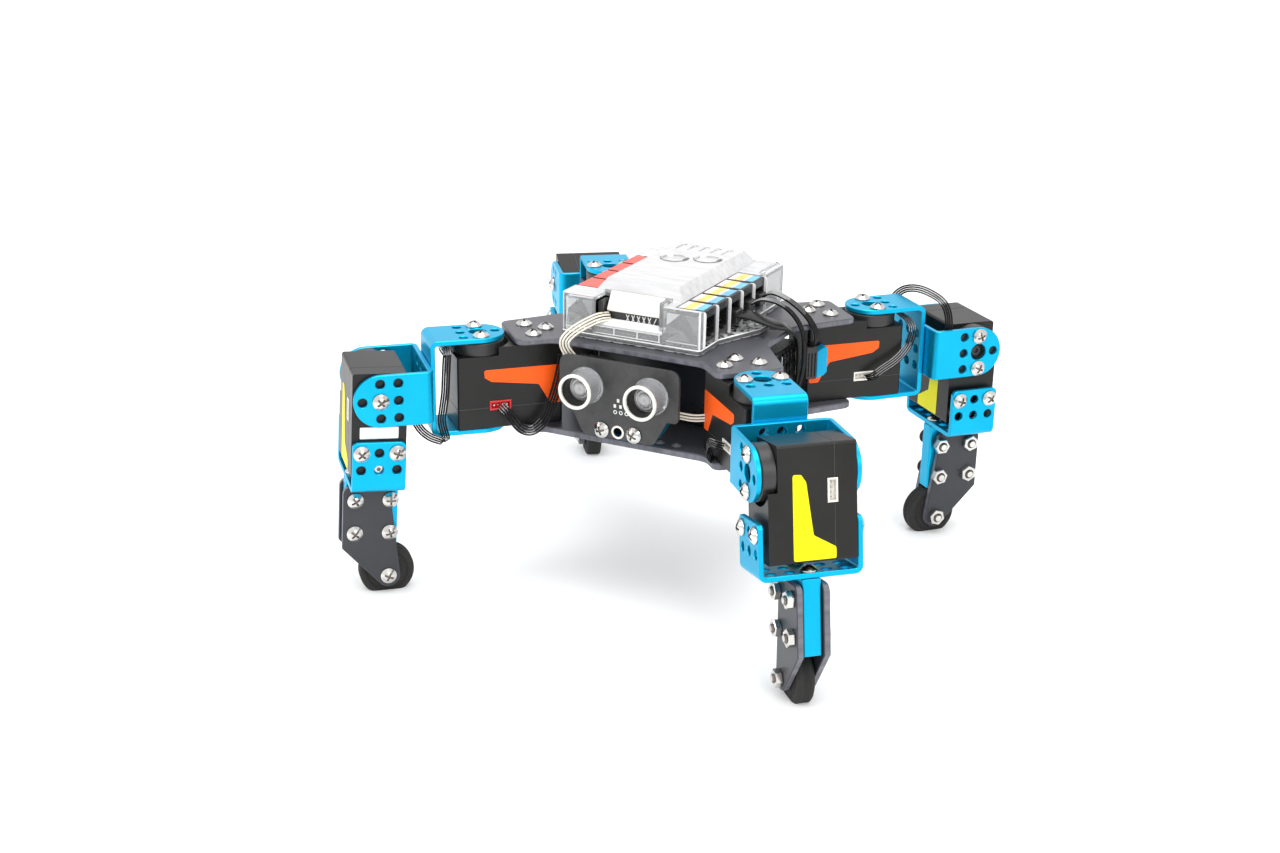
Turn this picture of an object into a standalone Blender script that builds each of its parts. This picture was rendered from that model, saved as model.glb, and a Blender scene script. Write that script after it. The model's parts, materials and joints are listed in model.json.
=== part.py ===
"""Four-legged walking robot: two body plates, eight servos and four bracket-built legs.

Run with: blender --background --python part.py
Units are metres, +Z is up, the floor is z = 0 and the robot's front (its sensor) faces -Y.
Each leg is built in its own frames: an empty on the hip's upright axis, whose +X points
outwards along the leg, and under it an empty on the knee's level axis.
"""

from math import atan2, cos, pi, radians, sin

import bmesh
import bpy
from mathutils import Vector

MM = 0.001

# Driving dimensions, in millimetres.
AXIS_Z = 98.6  # height of every hip's middle and of every knee axis
HIP_X, HIP_Y = 69.9, 65.0  # hip axes from the middle of the body
BODY_X, BODY_Y = -0.32, -1.77  # the body's middle; the origin is midway between the outermost points
LEG_STEP = 48.0  # hip axis to knee axis
GAP = 0.3  # clearance between pieces that touch

SHEET = 2.2  # thickness of the bent aluminium brackets
BRACKET_WIDTH = 24.0
BRACKET_OUTSIDE = 44.8  # across the outer faces of a bracket's two tabs
BEND = 3.4  # outer radius of a bend
HOLE_PITCH = 8.0
SMALL_HOLE = 2.15  # radius
BIG_HOLE = 4.0  # radius

SERVO_NEAR = 12.3  # output axis to the near end
SERVO_FAR = 36.5  # output axis to the far end
SERVO_THICK = 24.5
SERVO_HORN_SIDE = 18.0  # middle to the case's face on the horn side
SERVO_RECESS = 13.9  # middle to the floor of the recess round the horn
SERVO_IDLER_SIDE = 19.9
RECESS_RADIUS = 14.0
HORN_RADIUS = 12.0
HORN_TOP = 19.9

TOP_PLATE = (18.3, 21.2)  # bottom and top, from the hips' middle
LOW_PLATE = (-23.4, -20.2)
PLATE_FRONT = 53.5  # half the length of the top plate between its front arms
LOW_PLATE_FRONT = 57.0
PLATE_WAIST_X, PLATE_WAIST_Y = 51.0, 15.0
ARM_END = 14.7  # from the hip axis to the end of a plate's arm
ARM_OUTSIDE, ARM_INSIDE = 16.5, 15.0  # half widths of an arm, to its side and to its front

FOOT_BRACKET_TOP, FOOT_BRACKET_BOTTOM = -19.0, -43.0
TAB_ROW = -24.0  # upper row of holes in a foot bracket's tabs
BEAM_THICK = 8.0
BEAM_BOTTOM = -75.6
SHIN_THICK = 2.9
SHIN_TOP = -45.6
SHIN_ROWS = (-52.0, -68.0)
SHIN_HALF = 13.5
SHIN_SHOULDER = -75.5  # where the outer edge turns in towards the foot
FOOT_SCREW = (-8.0, -89.6)
FOOT_RADIUS = 12.7
FOOT_LIFT = 0.9  # middle of the foot above its screw
FOOT_HALF = 3.9

CASE_X = (-36.2, 33.0)
CASE_Y = (-48.0, 46.5)
CASE_BOTTOM, CASE_TOP, CASE_RIDGE = 21.5, 41.3, 47.0
CASE_WALL = 1.8
BASE_THICK = 2.6
CASE_EAR = 10.0  # how far the clear base's ears stand out of the case's sides
RIDGE_FOOT_X, RIDGE_TOP_X = (-24.0, 19.0), (-20.0, 15.0)
BOARD_THICK = 1.6
SOCKET_PITCH = 13.4
SOCKET_COUNT = 5
SOCKET_START = -45.0
SOCKET_X = (19.5, 33.0)
MOTOR_SOCKET_X, MOTOR_SOCKET_Y = (-36.2, -24.5), (-34.0, 26.0)
BATTERY_X, BATTERY_Y, BATTERY_TOP = (-30.0, 30.0), (-24.0, 40.0), 14.0

SENSOR_Y = -61.5  # front face of the sensor's board
SENSOR_HALF = 29.6
EYE_SPREAD, EYE_Z, EYE_RADIUS, EYE_LENGTH = 16.0, 4.5, 8.6, 11.5

# Each leg: its quarter of the body, how far its hip and its knee stand from square, in degrees.
LEGS = {
    "front_left": (-1, -1, -2.3, 3.0),
    "front_right": (1, -1, -2.5, 9.7),
    "rear_right": (1, 1, 2.6, -0.5),
    "rear_left": (-1, 1, -8.5, 11.5),
}

COLOURS = {
    "bracket": ((0.005, 0.42, 0.72, 1.0), 0.35, 1.0),
    "plate": ((0.085, 0.085, 0.105, 1.0), 0.45, 0.0),
    "servo": ((0.028, 0.027, 0.026, 1.0), 0.5, 0.0),
    "rubber": ((0.016, 0.015, 0.014, 1.0), 0.8, 0.0),
    "clear": ((0.85, 0.9, 0.92, 0.35), 0.08, 0.0),
    "board": ((0.03, 0.03, 0.032, 1.0), 0.4, 0.0),
    "silver": ((0.65, 0.65, 0.66, 1.0), 0.3, 1.0),
    "socket": ((0.012, 0.012, 0.012, 1.0), 0.35, 0.0),
    "battery": ((0.25, 0.27, 0.3, 1.0), 0.4, 0.0),
    "black_lead": ((0.012, 0.012, 0.012, 1.0), 0.45, 0.0),
    "white_lead": ((0.75, 0.73, 0.68, 1.0), 0.45, 0.0),
}


def material(kind):
    found = bpy.data.materials.get(kind)
    if found:
        return found
    colour, roughness, metallic = COLOURS[kind]
    made = bpy.data.materials.new(kind)
    made.use_nodes = True
    shader = made.node_tree.nodes["Principled BSDF"]
    shader.inputs["Base Color"].default_value = colour
    shader.inputs["Roughness"].default_value = roughness
    shader.inputs["Metallic"].default_value = metallic
    return made


def place(name, mesh, frame, kind):
    """Make an object of a mesh in one of the frames; kind None makes a cutter."""
    piece = bpy.data.objects.new(name, mesh)
    bpy.context.scene.collection.objects.link(piece)
    piece.parent = frame
    if kind is None:
        piece.hide_render = True
        piece.display_type = "WIRE"
    else:
        mesh.materials.append(material(kind))
        mesh.shade_smooth()
        mesh.set_sharp_from_angle(angle=radians(32))
    return piece


def empty(name, location, rotation, parent=None):
    made = bpy.data.objects.new(name, None)
    made.location = Vector(location) * MM
    made.rotation_euler = rotation
    made.parent = parent
    bpy.context.scene.collection.objects.link(made)
    return made


def circle(centre, radius, sides, start=0.0, sweep=2 * pi):
    """Points round a circle, or along an arc of it, ends included."""
    closed = abs(sweep) > 2 * pi - 1e-6
    count = sides if closed else sides + 1
    angles = [start + sweep * i / sides for i in range(count)]
    return [(centre[0] + radius * cos(a), centre[1] + radius * sin(a)) for a in angles]


def rounded(corners, steps=3):
    """An outline whose corners (x, y, radius) are rounded; a radius of 0 stays sharp."""
    points = []
    count = len(corners)
    for i, (x, y, radius) in enumerate(corners):
        corner = Vector((x, y))
        if radius == 0:
            points.append((x, y))
            continue
        back = (Vector(corners[i - 1][:2]) - corner).normalized()
        ahead = (Vector(corners[(i + 1) % count][:2]) - corner).normalized()
        half = back.angle(ahead) / 2
        centre = corner + (back + ahead).normalized() * (radius / sin(half))
        first = corner + back * (radius * cos(half) / sin(half)) - centre
        last = corner + ahead * (radius * cos(half) / sin(half)) - centre
        turn = atan2(first.x * last.y - first.y * last.x, first.dot(last))
        start = atan2(first.y, first.x)
        points += circle(centre, radius, steps, start, turn)
    return points


def rectangle(x0, x1, y0, y1, radius=0.0, steps=2):
    return rounded([(x0, y0, radius), (x1, y0, radius), (x1, y1, radius), (x0, y1, radius)], steps)


def add_prism(bm, outline, low, high, plane):
    """Extrude an outline in the plane XY, XZ or YZ from low to high along the third axis."""
    order = {"XY": (0, 1, 2), "XZ": (0, 2, 1), "YZ": (1, 2, 0)}[plane]
    verts = []
    for x, y in outline:
        spot = [0.0, 0.0, 0.0]
        spot[order[0]] = x * MM
        spot[order[1]] = y * MM
        spot[order[2]] = low * MM
        verts.append(bm.verts.new(spot))
    face = bm.faces.new(verts)
    grown = bmesh.ops.extrude_face_region(bm, geom=[face])["geom"]
    shift = [0.0, 0.0, 0.0]
    shift[order[2]] = (high - low) * MM
    moved = [item for item in grown if isinstance(item, bmesh.types.BMVert)]
    bmesh.ops.translate(bm, verts=moved, vec=shift)


def prism_mesh(name, prisms):
    """One mesh of prisms (outline, low, high, plane)."""
    bm = bmesh.new()
    for outline, low, high, plane in prisms:
        add_prism(bm, outline, low, high, plane)
    bmesh.ops.recalc_face_normals(bm, faces=bm.faces)
    mesh = bpy.data.meshes.new(name)
    bm.to_mesh(mesh)
    bm.free()
    return mesh


def solid(name, frame, kind, outline, low, high, plane="XY"):
    return place(name, prism_mesh(name, [(outline, low, high, plane)]), frame, kind)


def boolean(piece, operation, prisms, frame):
    """Cut piece with prisms, keep what they share with it, or join them to it."""
    number = len(piece.modifiers)
    cutter = place(f"{piece.name}_tool_{number}", prism_mesh("tool", prisms), frame, None)
    modifier = piece.modifiers.new(f"{operation.lower()}_{number}", "BOOLEAN")
    modifier.operation = operation
    modifier.object = cutter


def lathe(name, frame, kind, profile, centre, axis, steps=24):
    """Turn a closed (radius, height) profile about an axis through centre."""
    along = {"X": Vector((1, 0, 0)), "Y": Vector((0, 1, 0)), "Z": Vector((0, 0, 1))}[axis]
    side = Vector((0, 0, 1)) if axis == "Y" else Vector((0, 1, 0))
    across = along.cross(side)
    bm = bmesh.new()
    middle = Vector(centre)
    rings = []
    for radius, height in profile:
        if radius == 0:
            rings.append([bm.verts.new((middle + along * height) * MM)])
            continue
        ring = []
        for i in range(steps):
            turn = 2 * pi * i / steps
            out = side * (radius * cos(turn)) + across * (radius * sin(turn))
            ring.append(bm.verts.new((middle + along * height + out) * MM))
        rings.append(ring)
    for low, high in zip(rings, rings[1:]):
        for i in range(steps):
            j = (i + 1) % steps
            corners = [low[i % len(low)], low[j % len(low)], high[j % len(high)], high[i % len(high)]]
            bm.faces.new(list(dict.fromkeys(corners)))
    bmesh.ops.recalc_face_normals(bm, faces=bm.faces)
    mesh = bpy.data.meshes.new(name)
    bm.to_mesh(mesh)
    bm.free()
    return place(name, mesh, frame, kind)


def smooth_route(points, spacing):
    """A Catmull-Rom curve through the points, read at about the given spacing."""
    spots = [Vector(p) for p in points]
    spots = [2 * spots[0] - spots[1]] + spots + [2 * spots[-1] - spots[-2]]
    route = [spots[1]]
    for a, b, c, d in zip(spots, spots[1:], spots[2:], spots[3:]):
        pieces = max(1, round((c - b).length / spacing))
        for i in range(1, pieces + 1):
            t = i / pieces
            route.append(
                0.5 * (2 * b + (c - a) * t + (2 * a - 5 * b + 4 * c - d) * t * t
                       + (3 * b - a - 3 * c + d) * t ** 3)
            )
    return route


def lead(name, frame, kind, points, diameter):
    """A cable along a smooth route, as a round tube with closed ends."""
    curve = bpy.data.curves.new(name, "CURVE")
    curve.dimensions = "3D"
    curve.bevel_depth = diameter / 2 * MM
    curve.bevel_resolution = 2
    curve.use_fill_caps = True
    route = smooth_route(points, 2.6 * diameter)
    spline = curve.splines.new("POLY")
    spline.points.add(len(route) - 1)
    for point, spot in zip(spline.points, route):
        point.co = (*(spot * MM), 1.0)
    curve.materials.append(material(kind))
    made = bpy.data.objects.new(name, curve)
    bpy.context.scene.collection.objects.link(made)
    made.parent = frame
    return made


def tab_holes(centre, towards_web):
    """Centres of the six small holes round the axis in a bracket's tab, first value along the leg."""
    x, y = centre
    step = HOLE_PITCH * towards_web
    near = [(x - step, y), (x, y - HOLE_PITCH), (x, y + HOLE_PITCH)]
    return near + [(x + step, y + offset) for offset in (-HOLE_PITCH, 0, HOLE_PITCH)]


def hole_prisms(centres, radius, low, high, plane, sides=8):
    turn = pi / sides
    return [(circle(c, radius, sides, turn), low, high, plane) for c in centres]


def hip_bracket(leg, hip):
    """U-shaped bracket over the hip servo: level tabs above and below, an upright web outside."""
    outside = BRACKET_OUTSIDE / 2
    inside = outside - SHEET
    back = LEG_STEP / 2 - GAP / 2
    start = -BRACKET_WIDTH
    section = rounded([
        (start, -outside, 0), (back, -outside, BEND), (back, outside, BEND), (start, outside, 0),
        (start, inside, 0), (back - SHEET, inside, BEND - SHEET),
        (back - SHEET, -inside, BEND - SHEET), (start, -inside, 0),
    ])
    half = BRACKET_WIDTH / 2
    bracket = solid(f"{leg}_hip_bracket", hip, "bracket", section, -half - 2, half + 2, "XZ")
    blank = circle((0, 0), half, 12, pi / 2, pi) + [(back + 2, -half), (back + 2, half)]
    boolean(bracket, "INTERSECT", [(blank, -30, 30, "XY")], hip)
    cuts = hole_prisms(tab_holes((0, 0), 1), SMALL_HOLE, -30, 30, "XY")
    cuts += hole_prisms([(0, 0)], BIG_HOLE, 0, 30, "XY", 14)
    cuts += hole_prisms([(0, 0)], SMALL_HOLE, -30, 0, "XY")
    boolean(bracket, "DIFFERENCE", cuts, hip)
    web = [(y, z) for y in (-HOLE_PITCH, 0, HOLE_PITCH) for z in (-HOLE_PITCH, HOLE_PITCH)]
    boolean(bracket, "DIFFERENCE", hole_prisms(web, SMALL_HOLE, back - 6, back + 2, "YZ"), hip)


def knee_bracket(leg, hip):
    """The same bracket turned a quarter and bolted back to back: upright tabs beside the knee."""
    outside = BRACKET_OUTSIDE / 2
    inside = outside - SHEET
    back = LEG_STEP / 2 + GAP / 2
    end = LEG_STEP + BRACKET_WIDTH
    section = rounded([
        (end, outside, 0), (back, outside, BEND), (back, -outside, BEND), (end, -outside, 0),
        (end, -inside, 0), (back + SHEET, -inside, BEND - SHEET),
        (back + SHEET, inside, BEND - SHEET), (end, inside, 0),
    ])
    half = BRACKET_WIDTH / 2
    bracket = solid(f"{leg}_knee_bracket", hip, "bracket", section, -half - 2, half + 2, "XY")
    blank = circle((LEG_STEP, 0), half, 12, -pi / 2, pi) + [(back - 2, half), (back - 2, -half)]
    boolean(bracket, "INTERSECT", [(blank, -30, 30, "XZ")], hip)
    cuts = hole_prisms(tab_holes((LEG_STEP, 0), -1), SMALL_HOLE, -30, 30, "XZ")
    cuts += hole_prisms([(LEG_STEP, 0)], BIG_HOLE, -30, 0, "XZ", 14)
    cuts += hole_prisms([(LEG_STEP, 0)], SMALL_HOLE, 0, 30, "XZ")
    boolean(bracket, "DIFFERENCE", cuts, hip)
    web = [(y, z) for y in (-HOLE_PITCH, 0, HOLE_PITCH) for z in (-HOLE_PITCH, HOLE_PITCH)]
    boolean(bracket, "DIFFERENCE", hole_prisms(web, SMALL_HOLE, back - 2, back + 6, "YZ"), hip)


def foot_bracket(leg, knee):
    """U-shaped bracket across the far end of the knee servo, with its web at the bottom."""
    outside = BRACKET_OUTSIDE / 2
    inside = outside - SHEET
    low = FOOT_BRACKET_BOTTOM
    top = FOOT_BRACKET_TOP + 3
    section = rounded([
        (-outside, top, 0), (-outside, low, BEND), (outside, low, BEND), (outside, top, 0),
        (inside, top, 0), (inside, low + SHEET, BEND - SHEET),
        (-inside, low + SHEET, BEND - SHEET), (-inside, top, 0),
    ])
    half = BRACKET_WIDTH / 2
    bracket = solid(f"{leg}_foot_bracket", knee, "bracket", section, -half - 2, half + 2, "YZ")
    blank = rounded([
        (-half, low - 2, 0), (half, low - 2, 0),
        (half, FOOT_BRACKET_TOP, 2.5), (-half, FOOT_BRACKET_TOP, 2.5),
    ])
    boolean(bracket, "INTERSECT", [(blank, -30, 30, "XZ")], knee)
    rows = (TAB_ROW, TAB_ROW - HOLE_PITCH)
    holes = [(x, z) for x in (-HOLE_PITCH, 0, HOLE_PITCH) for z in rows]
    cuts = hole_prisms(holes, SMALL_HOLE, -30, 30, "XZ")
    boolean(bracket, "DIFFERENCE", cuts, knee)


def servo(name, frame, upright):
    """Servo case with its recess for the horn. Upright, its output axis is the frame's Z and its
    far end points to -X; otherwise its axis is the frame's Y, horn at -Y, and it hangs to -Z."""
    half = SERVO_THICK / 2
    notch = circle((0, 0), RECESS_RADIUS, 10, pi / 2, pi)
    if upright:
        case = [(-SERVO_FAR, -half, 1.0), (SERVO_NEAR, -half, 2.4),
                (SERVO_NEAR, half, 2.4), (-SERVO_FAR, half, 1.0)]
        notch = notch + [(30, -RECESS_RADIUS), (30, RECESS_RADIUS)]
        low, high, plane = -SERVO_IDLER_SIDE, SERVO_HORN_SIDE, "XY"
        cut = (notch, SERVO_RECESS, 30, plane)
    else:
        case = [(-half, -SERVO_FAR, 1.0), (half, -SERVO_FAR, 1.0),
                (half, SERVO_NEAR, 2.4), (-half, SERVO_NEAR, 2.4)]
        notch = [(y, x) for x, y in notch] + [(-RECESS_RADIUS, 30), (RECESS_RADIUS, 30)]
        low, high, plane = -SERVO_HORN_SIDE, SERVO_IDLER_SIDE, "XZ"
        cut = (notch, -30, -SERVO_RECESS, plane)
    body = solid(name, frame, "servo", rounded(case, 2), low, high, plane)
    boolean(body, "DIFFERENCE", [cut], frame)


def horn(name, frame, centre, axis, direction):
    low = (SERVO_RECESS + GAP) * direction
    high = HORN_TOP * direction
    edge = HORN_RADIUS - 0.6
    profile = [(0, low), (HORN_RADIUS, low), (HORN_RADIUS, high - 0.6 * direction), (edge, high), (0, high)]
    lathe(name, frame, "servo", profile, centre, axis, 20)


def shin_outline():
    """Side shape of a shin plate: round top corners, a slanted lower outer edge, a round foot end."""
    foot_x, foot_z = FOOT_SCREW
    radius = SHIN_HALF + foot_x
    slope = atan2(SHIN_SHOULDER - foot_z, SHIN_HALF - foot_x)
    reach = ((SHIN_SHOULDER - foot_z) ** 2 + (SHIN_HALF - foot_x) ** 2) ** 0.5
    touch = slope - pi / 2 + (pi / 2 - atan2((reach ** 2 - radius ** 2) ** 0.5, radius))
    end = circle((foot_x, foot_z), radius, 8, -pi, pi + touch)
    top = rounded([(SHIN_HALF, SHIN_SHOULDER, 0), (SHIN_HALF, SHIN_TOP, 3.5), (-SHIN_HALF, SHIN_TOP, 3.5)])
    return end + top


def lower_leg(leg, knee, tilt):
    """Everything that swings at the knee, below its servo."""
    foot_bracket(leg, knee)
    half = BEAM_THICK / 2
    top = FOOT_BRACKET_BOTTOM - GAP
    beam = rectangle(-BRACKET_WIDTH / 2, BRACKET_WIDTH / 2, -half, half, 0.8)
    solid(f"{leg}_leg_beam", knee, "bracket", beam, BEAM_BOTTOM, top)
    for side, sign in (("left", 1), ("right", -1)):
        inner = sign * (half + GAP)
        outer = sign * (half + GAP + SHIN_THICK)
        shin = solid(f"{leg}_shin_plate_{side}", knee, "plate", shin_outline(),
                     min(inner, outer), max(inner, outer), "XZ")
        holes = [(x, z) for x in (-HOLE_PITCH, HOLE_PITCH) for z in SHIN_ROWS] + [FOOT_SCREW]
        boolean(shin, "DIFFERENCE", hole_prisms(holes, SMALL_HOLE, -20, 20, "XZ"), knee)
    foot(leg, knee, tilt)


def foot(leg, knee, tilt):
    """Round rubber foot between the shin plates, pressed flat where it stands on the floor."""
    edge = FOOT_RADIUS - 1.2
    profile = [(0, -FOOT_HALF), (edge, -FOOT_HALF), (FOOT_RADIUS, -FOOT_HALF / 2),
               (FOOT_RADIUS, FOOT_HALF / 2), (edge, FOOT_HALF), (0, FOOT_HALF)]
    centre_x, centre_z = FOOT_SCREW[0], FOOT_SCREW[1] + FOOT_LIFT
    tread = lathe(f"{leg}_foot", knee, "rubber", profile, (centre_x, 0, centre_z), "Y", 28)
    lean = radians(tilt)
    corners = []
    for u, v in ((-60, -AXIS_Z), (60, -AXIS_Z), (60, -AXIS_Z - 20), (-60, -AXIS_Z - 20)):
        corners.append((u * cos(lean) + v * sin(lean), v * cos(lean) - u * sin(lean)))
    boolean(tread, "DIFFERENCE", [(corners, -10, 10, "XZ")], knee)


def leg_assembly(leg, body):
    side, end, swing, tilt = LEGS[leg]
    square = atan2(end, side)
    at_hip = (side * HIP_X, end * HIP_Y, 0)
    mount = empty(f"{leg}_hip_mount", at_hip, (0, 0, square), body)
    hip = empty(f"{leg}_hip_axis", at_hip, (0, 0, square + radians(swing)), body)
    knee = empty(f"{leg}_knee_axis", (LEG_STEP, 0, 0), (0, -radians(tilt), 0), hip)
    servo(f"{leg}_hip_servo", mount, True)
    horn(f"{leg}_hip_horn", hip, (0, 0, 0), "Z", 1)
    hip_bracket(leg, hip)
    knee_bracket(leg, hip)
    horn(f"{leg}_knee_horn", hip, (LEG_STEP, 0, 0), "Y", -1)
    servo(f"{leg}_knee_servo", knee, False)
    lower_leg(leg, knee, tilt)
    return mount, hip


def plate_outline(front):
    """Body plate: four arms at 45 degrees with round corners, and a waist between them."""
    d = 0.5 ** 0.5
    end_x, end_y = HIP_X - ARM_END * d, HIP_Y - ARM_END * d
    outer = (end_x + ARM_OUTSIDE * d, end_y - ARM_OUTSIDE * d, 4.0)
    inner = (end_x - ARM_INSIDE * d, end_y + ARM_INSIDE * d, 4.0)
    notch_x = inner[0] - (inner[1] - front)
    quarter = [(PLATE_WAIST_X, PLATE_WAIST_Y, 8.0), outer, inner, (notch_x, front, 8.0)]
    corners = []
    for side, end in ((1, 1), (-1, 1), (-1, -1), (1, -1)):
        run = [(side * x, end * y, r) for x, y, r in quarter]
        corners += run if side * end > 0 else run[::-1]
    return rounded(corners)


def body_plates(body):
    """Top plate with a window under the controller, bottom plate, and the battery between them."""
    top = solid("top_plate", body, "plate", plate_outline(PLATE_FRONT), *TOP_PLATE)
    solid("bottom_plate", body, "plate", plate_outline(LOW_PLATE_FRONT), *LOW_PLATE)
    window = rectangle(-16, 14, -34, 8, 3)
    boolean(top, "DIFFERENCE", [(window, TOP_PLATE[0] - 5, TOP_PLATE[1] + 5, "XY")], body)
    cells = rectangle(*BATTERY_X, *BATTERY_Y, 5, 3)
    solid("battery_pack", body, "battery", cells, LOW_PLATE[1] + GAP, BATTERY_TOP)


def controller(body):
    """Controller in its clear case, on a clear base with an ear at each side."""
    x0, x1 = CASE_X
    y0, y1 = CASE_Y
    ear0, ear1 = x0 - CASE_EAR, x1 + CASE_EAR
    base = [(x0, y0, 2), (x1, y0, 2), (x1, y0 + 20, 0), (ear1, -3, 2), (ear1, 5, 2), (x1, 14, 0),
            (x1, y1, 2), (x0, y1, 2), (x0, 14, 0), (ear0, 5, 2), (ear0, -3, 2), (x0, y0 + 20, 0)]
    base_top = CASE_BOTTOM + BASE_THICK
    solid("case_base", body, "clear", rounded(base, 2), CASE_BOTTOM, base_top)
    cover_low = base_top + GAP
    case_cover(body, cover_low)
    board_low = cover_low + GAP
    board_top = board_low + BOARD_THICK
    board = rectangle(x0 + 3, x1 - 3, y0 + 3, y1 - 3, 2)
    solid("controller_board", body, "board", board, board_low, board_top)
    sockets(body, board_top + GAP)


def case_cover(body, low):
    """Open-bottomed clear cover with a raised middle, open at the front and over both socket rows."""
    x0, x1 = CASE_X
    y0, y1 = CASE_Y
    cover = solid("case_cover", body, "clear", rectangle(x0, x1, y0, y1, 2), low, CASE_TOP)
    foot0, foot1 = RIDGE_FOOT_X
    top0, top1 = RIDGE_TOP_X
    ridge = [(foot0, CASE_TOP - 3), (foot1, CASE_TOP - 3), (foot1, CASE_TOP), (top1, CASE_RIDGE),
             (top0, CASE_RIDGE), (foot0, CASE_TOP)]
    boolean(cover, "UNION", [(ridge, -38, y1 - 3, "XZ")], body)
    socket_end = SOCKET_START + SOCKET_PITCH * SOCKET_COUNT
    room = rectangle(x0 + CASE_WALL, x1 - CASE_WALL, y0 + CASE_WALL, y1 - CASE_WALL)
    right_bay = rectangle(SOCKET_X[0] - GAP, x1 + 5, SOCKET_START - GAP, socket_end + GAP)
    left_bay = rectangle(x0 - 5, MOTOR_SOCKET_X[1] + GAP, MOTOR_SOCKET_Y[0] - GAP, MOTOR_SOCKET_Y[1] + GAP)
    front_recess = rectangle(-20, 14.5, y0 - 5, -41)
    cuts = [(room, low - 5, CASE_TOP - CASE_WALL, "XY"), (right_bay, low - 5, 60, "XY"),
            (left_bay, low - 5, 60, "XY"), (front_recess, 29, 60, "XY")]
    for cut in cuts:
        boolean(cover, "DIFFERENCE", [cut], body)


def sockets(body, low):
    """The row of signal sockets on the right, each with its mouth, and the motor sockets on the left."""
    socket_end = SOCKET_START + SOCKET_PITCH * SOCKET_COUNT
    row = rectangle(*SOCKET_X, SOCKET_START, socket_end)
    signal = solid("signal_sockets", body, "socket", row, low, CASE_TOP)
    for number in range(SOCKET_COUNT):
        y = SOCKET_START + SOCKET_PITCH * (number + 0.5)
        mouth = rectangle(y - 4.8, y + 4.8, low + 2, CASE_TOP - 4)
        boolean(signal, "DIFFERENCE", [(mouth, SOCKET_X[0] + 3.5, 40, "YZ")], body)
    solid("motor_sockets", body, "socket", rectangle(*MOTOR_SOCKET_X, *MOTOR_SOCKET_Y), low, CASE_TOP)


def sensor(body):
    """Distance sensor standing on its tab before the plates, with two eyes."""
    shape = rounded([
        (-SENSOR_HALF, 17.5, 4.5), (-SENSOR_HALF, -6.5, 2.5), (-24, -6.5, 0), (-17.5, -18.5, 4),
        (17.5, -18.5, 4), (24, -6.5, 0), (SENSOR_HALF, -6.5, 2.5), (SENSOR_HALF, 17.5, 4.5),
    ])
    board = solid("sensor_board", body, "board", shape, SENSOR_Y, SENSOR_Y + 1.6, "XZ")
    holes = hole_prisms([(-HOLE_PITCH, -15), (0, -15), (HOLE_PITCH, -15)], SMALL_HOLE, -80, -40, "XZ")
    boolean(board, "DIFFERENCE", holes, body)
    back = SENSOR_Y - GAP
    front = back - EYE_LENGTH
    profile = [(0, back), (EYE_RADIUS, back), (EYE_RADIUS, front), (EYE_RADIUS - 1.5, front),
               (EYE_RADIUS - 1.5, front + 3), (0, front + 3)]
    for name, x in (("sensor_eye_left", -EYE_SPREAD), ("sensor_eye_right", EYE_SPREAD)):
        lathe(name, body, "silver", profile, (x, 0, EYE_Z), "Y", 20)


def leads(body, frames):
    """Cables that the robot holds between its housings, each ending just short of them."""
    mount, hip = frames["front_left"]
    lead("front_left_hip_lead", mount, "black_lead", [
        (-7.3, 14.0, -9.6), (-8.2, 17, -10.6), (-12, 18.8, -15.5), (-15.6, 18.8, -19.6), (-20.4, 18.8, -20.8),
        (-25.6, 18.8, -17), (-28.8, 18.8, -10.2), (-31.8, 17.8, -2.6), (-34.2, 16.8, 6), (-35.4, 16.2, 13),
    ], 2.6)
    lead("front_left_leg_lead", hip, "black_lead", [
        (-7.3, -14.0, -9.6), (-5.5, -17, -9), (1, -19.5, -5), (8, -18.5, 3), (13.5, -12, 11),
        (16.0, -3, 15.8), (16.4, 5.5, 16.6), (16.6, 11.5, 15.6), (17.2, 14, 11.5), (17.9, 14, 6), (18.6, 14, -1),
        (20.3, 14.6, -8), (21.6, 15, -15), (20.8, 15.6, -21), (20.4, 16.2, -25), (21.5, 16.8, -26.3),
        (24, 16.4, -24.4), (26.5, 15.2, -21.5), (29, 13.6, -17.5), (32, 11.2, -12), (34, 9.4, -8),
    ], 2.6)
    mount, hip = frames["rear_right"]
    lead("rear_right_leg_lead", hip, "black_lead", [
        (-7.3, -14.0, -9.6), (-5.6, -17, -8.4), (-0.8, -17.6, -5.2), (5.3, -17.6, -2.0), (10.3, -17, 1.8),
        (14.3, -15, 6), (17.2, -12, 11), (17.4, -7, 14.6), (17.2, 0, 15.8), (17.6, 8, 16.8),
        (20.5, 14.2, 19.6), (23.6, 12.5, 23.8), (25.8, 8, 26), (27.5, 1, 27), (29.0, -7, 26.8), (30.2, -14, 25.4),
        (31.4, -17.6, 22.4), (32.4, -19.0, 17), (32.6, -18.6, 10), (31.8, -12, 0), (31.6, -2, -7), (32.4, 6, -9),
        (34, 9.2, -8),
    ], 2.6)
    lead("sensor_lead", body, "white_lead", [
        (-15.5, -42.9, 32.6), (-17, -47, 32.4), (-20.3, -51.5, 30.4), (-24.8, -56, 27.2),
        (-27.8, -58.9, 23.6), (-28.3, -59.2, 20.4), (-26.6, -57.9, 16.2), (-23, -57.2, 12.5), (-18, -57.6, 10.0),
    ], 3.0)
    lead("signal_cables", body, "black_lead", [
        (34.9, 15.2, 33), (40, 16.6, 35.4), (48, 18, 33.4), (56, 19.6, 27.4), (61, 21.4, 20),
        (62.2, 24, 13), (61, 26.8, 8.5),
    ], 6.6)


def main():
    for old in list(bpy.data.objects):
        bpy.data.objects.remove(old, do_unlink=True)
    body = empty("body_frame", (BODY_X, BODY_Y, AXIS_Z), (0, 0, 0))
    frames = {leg: leg_assembly(leg, body) for leg in LEGS}
    body_plates(body)
    controller(body)
    sensor(body)
    leads(body, frames)


main()
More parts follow.
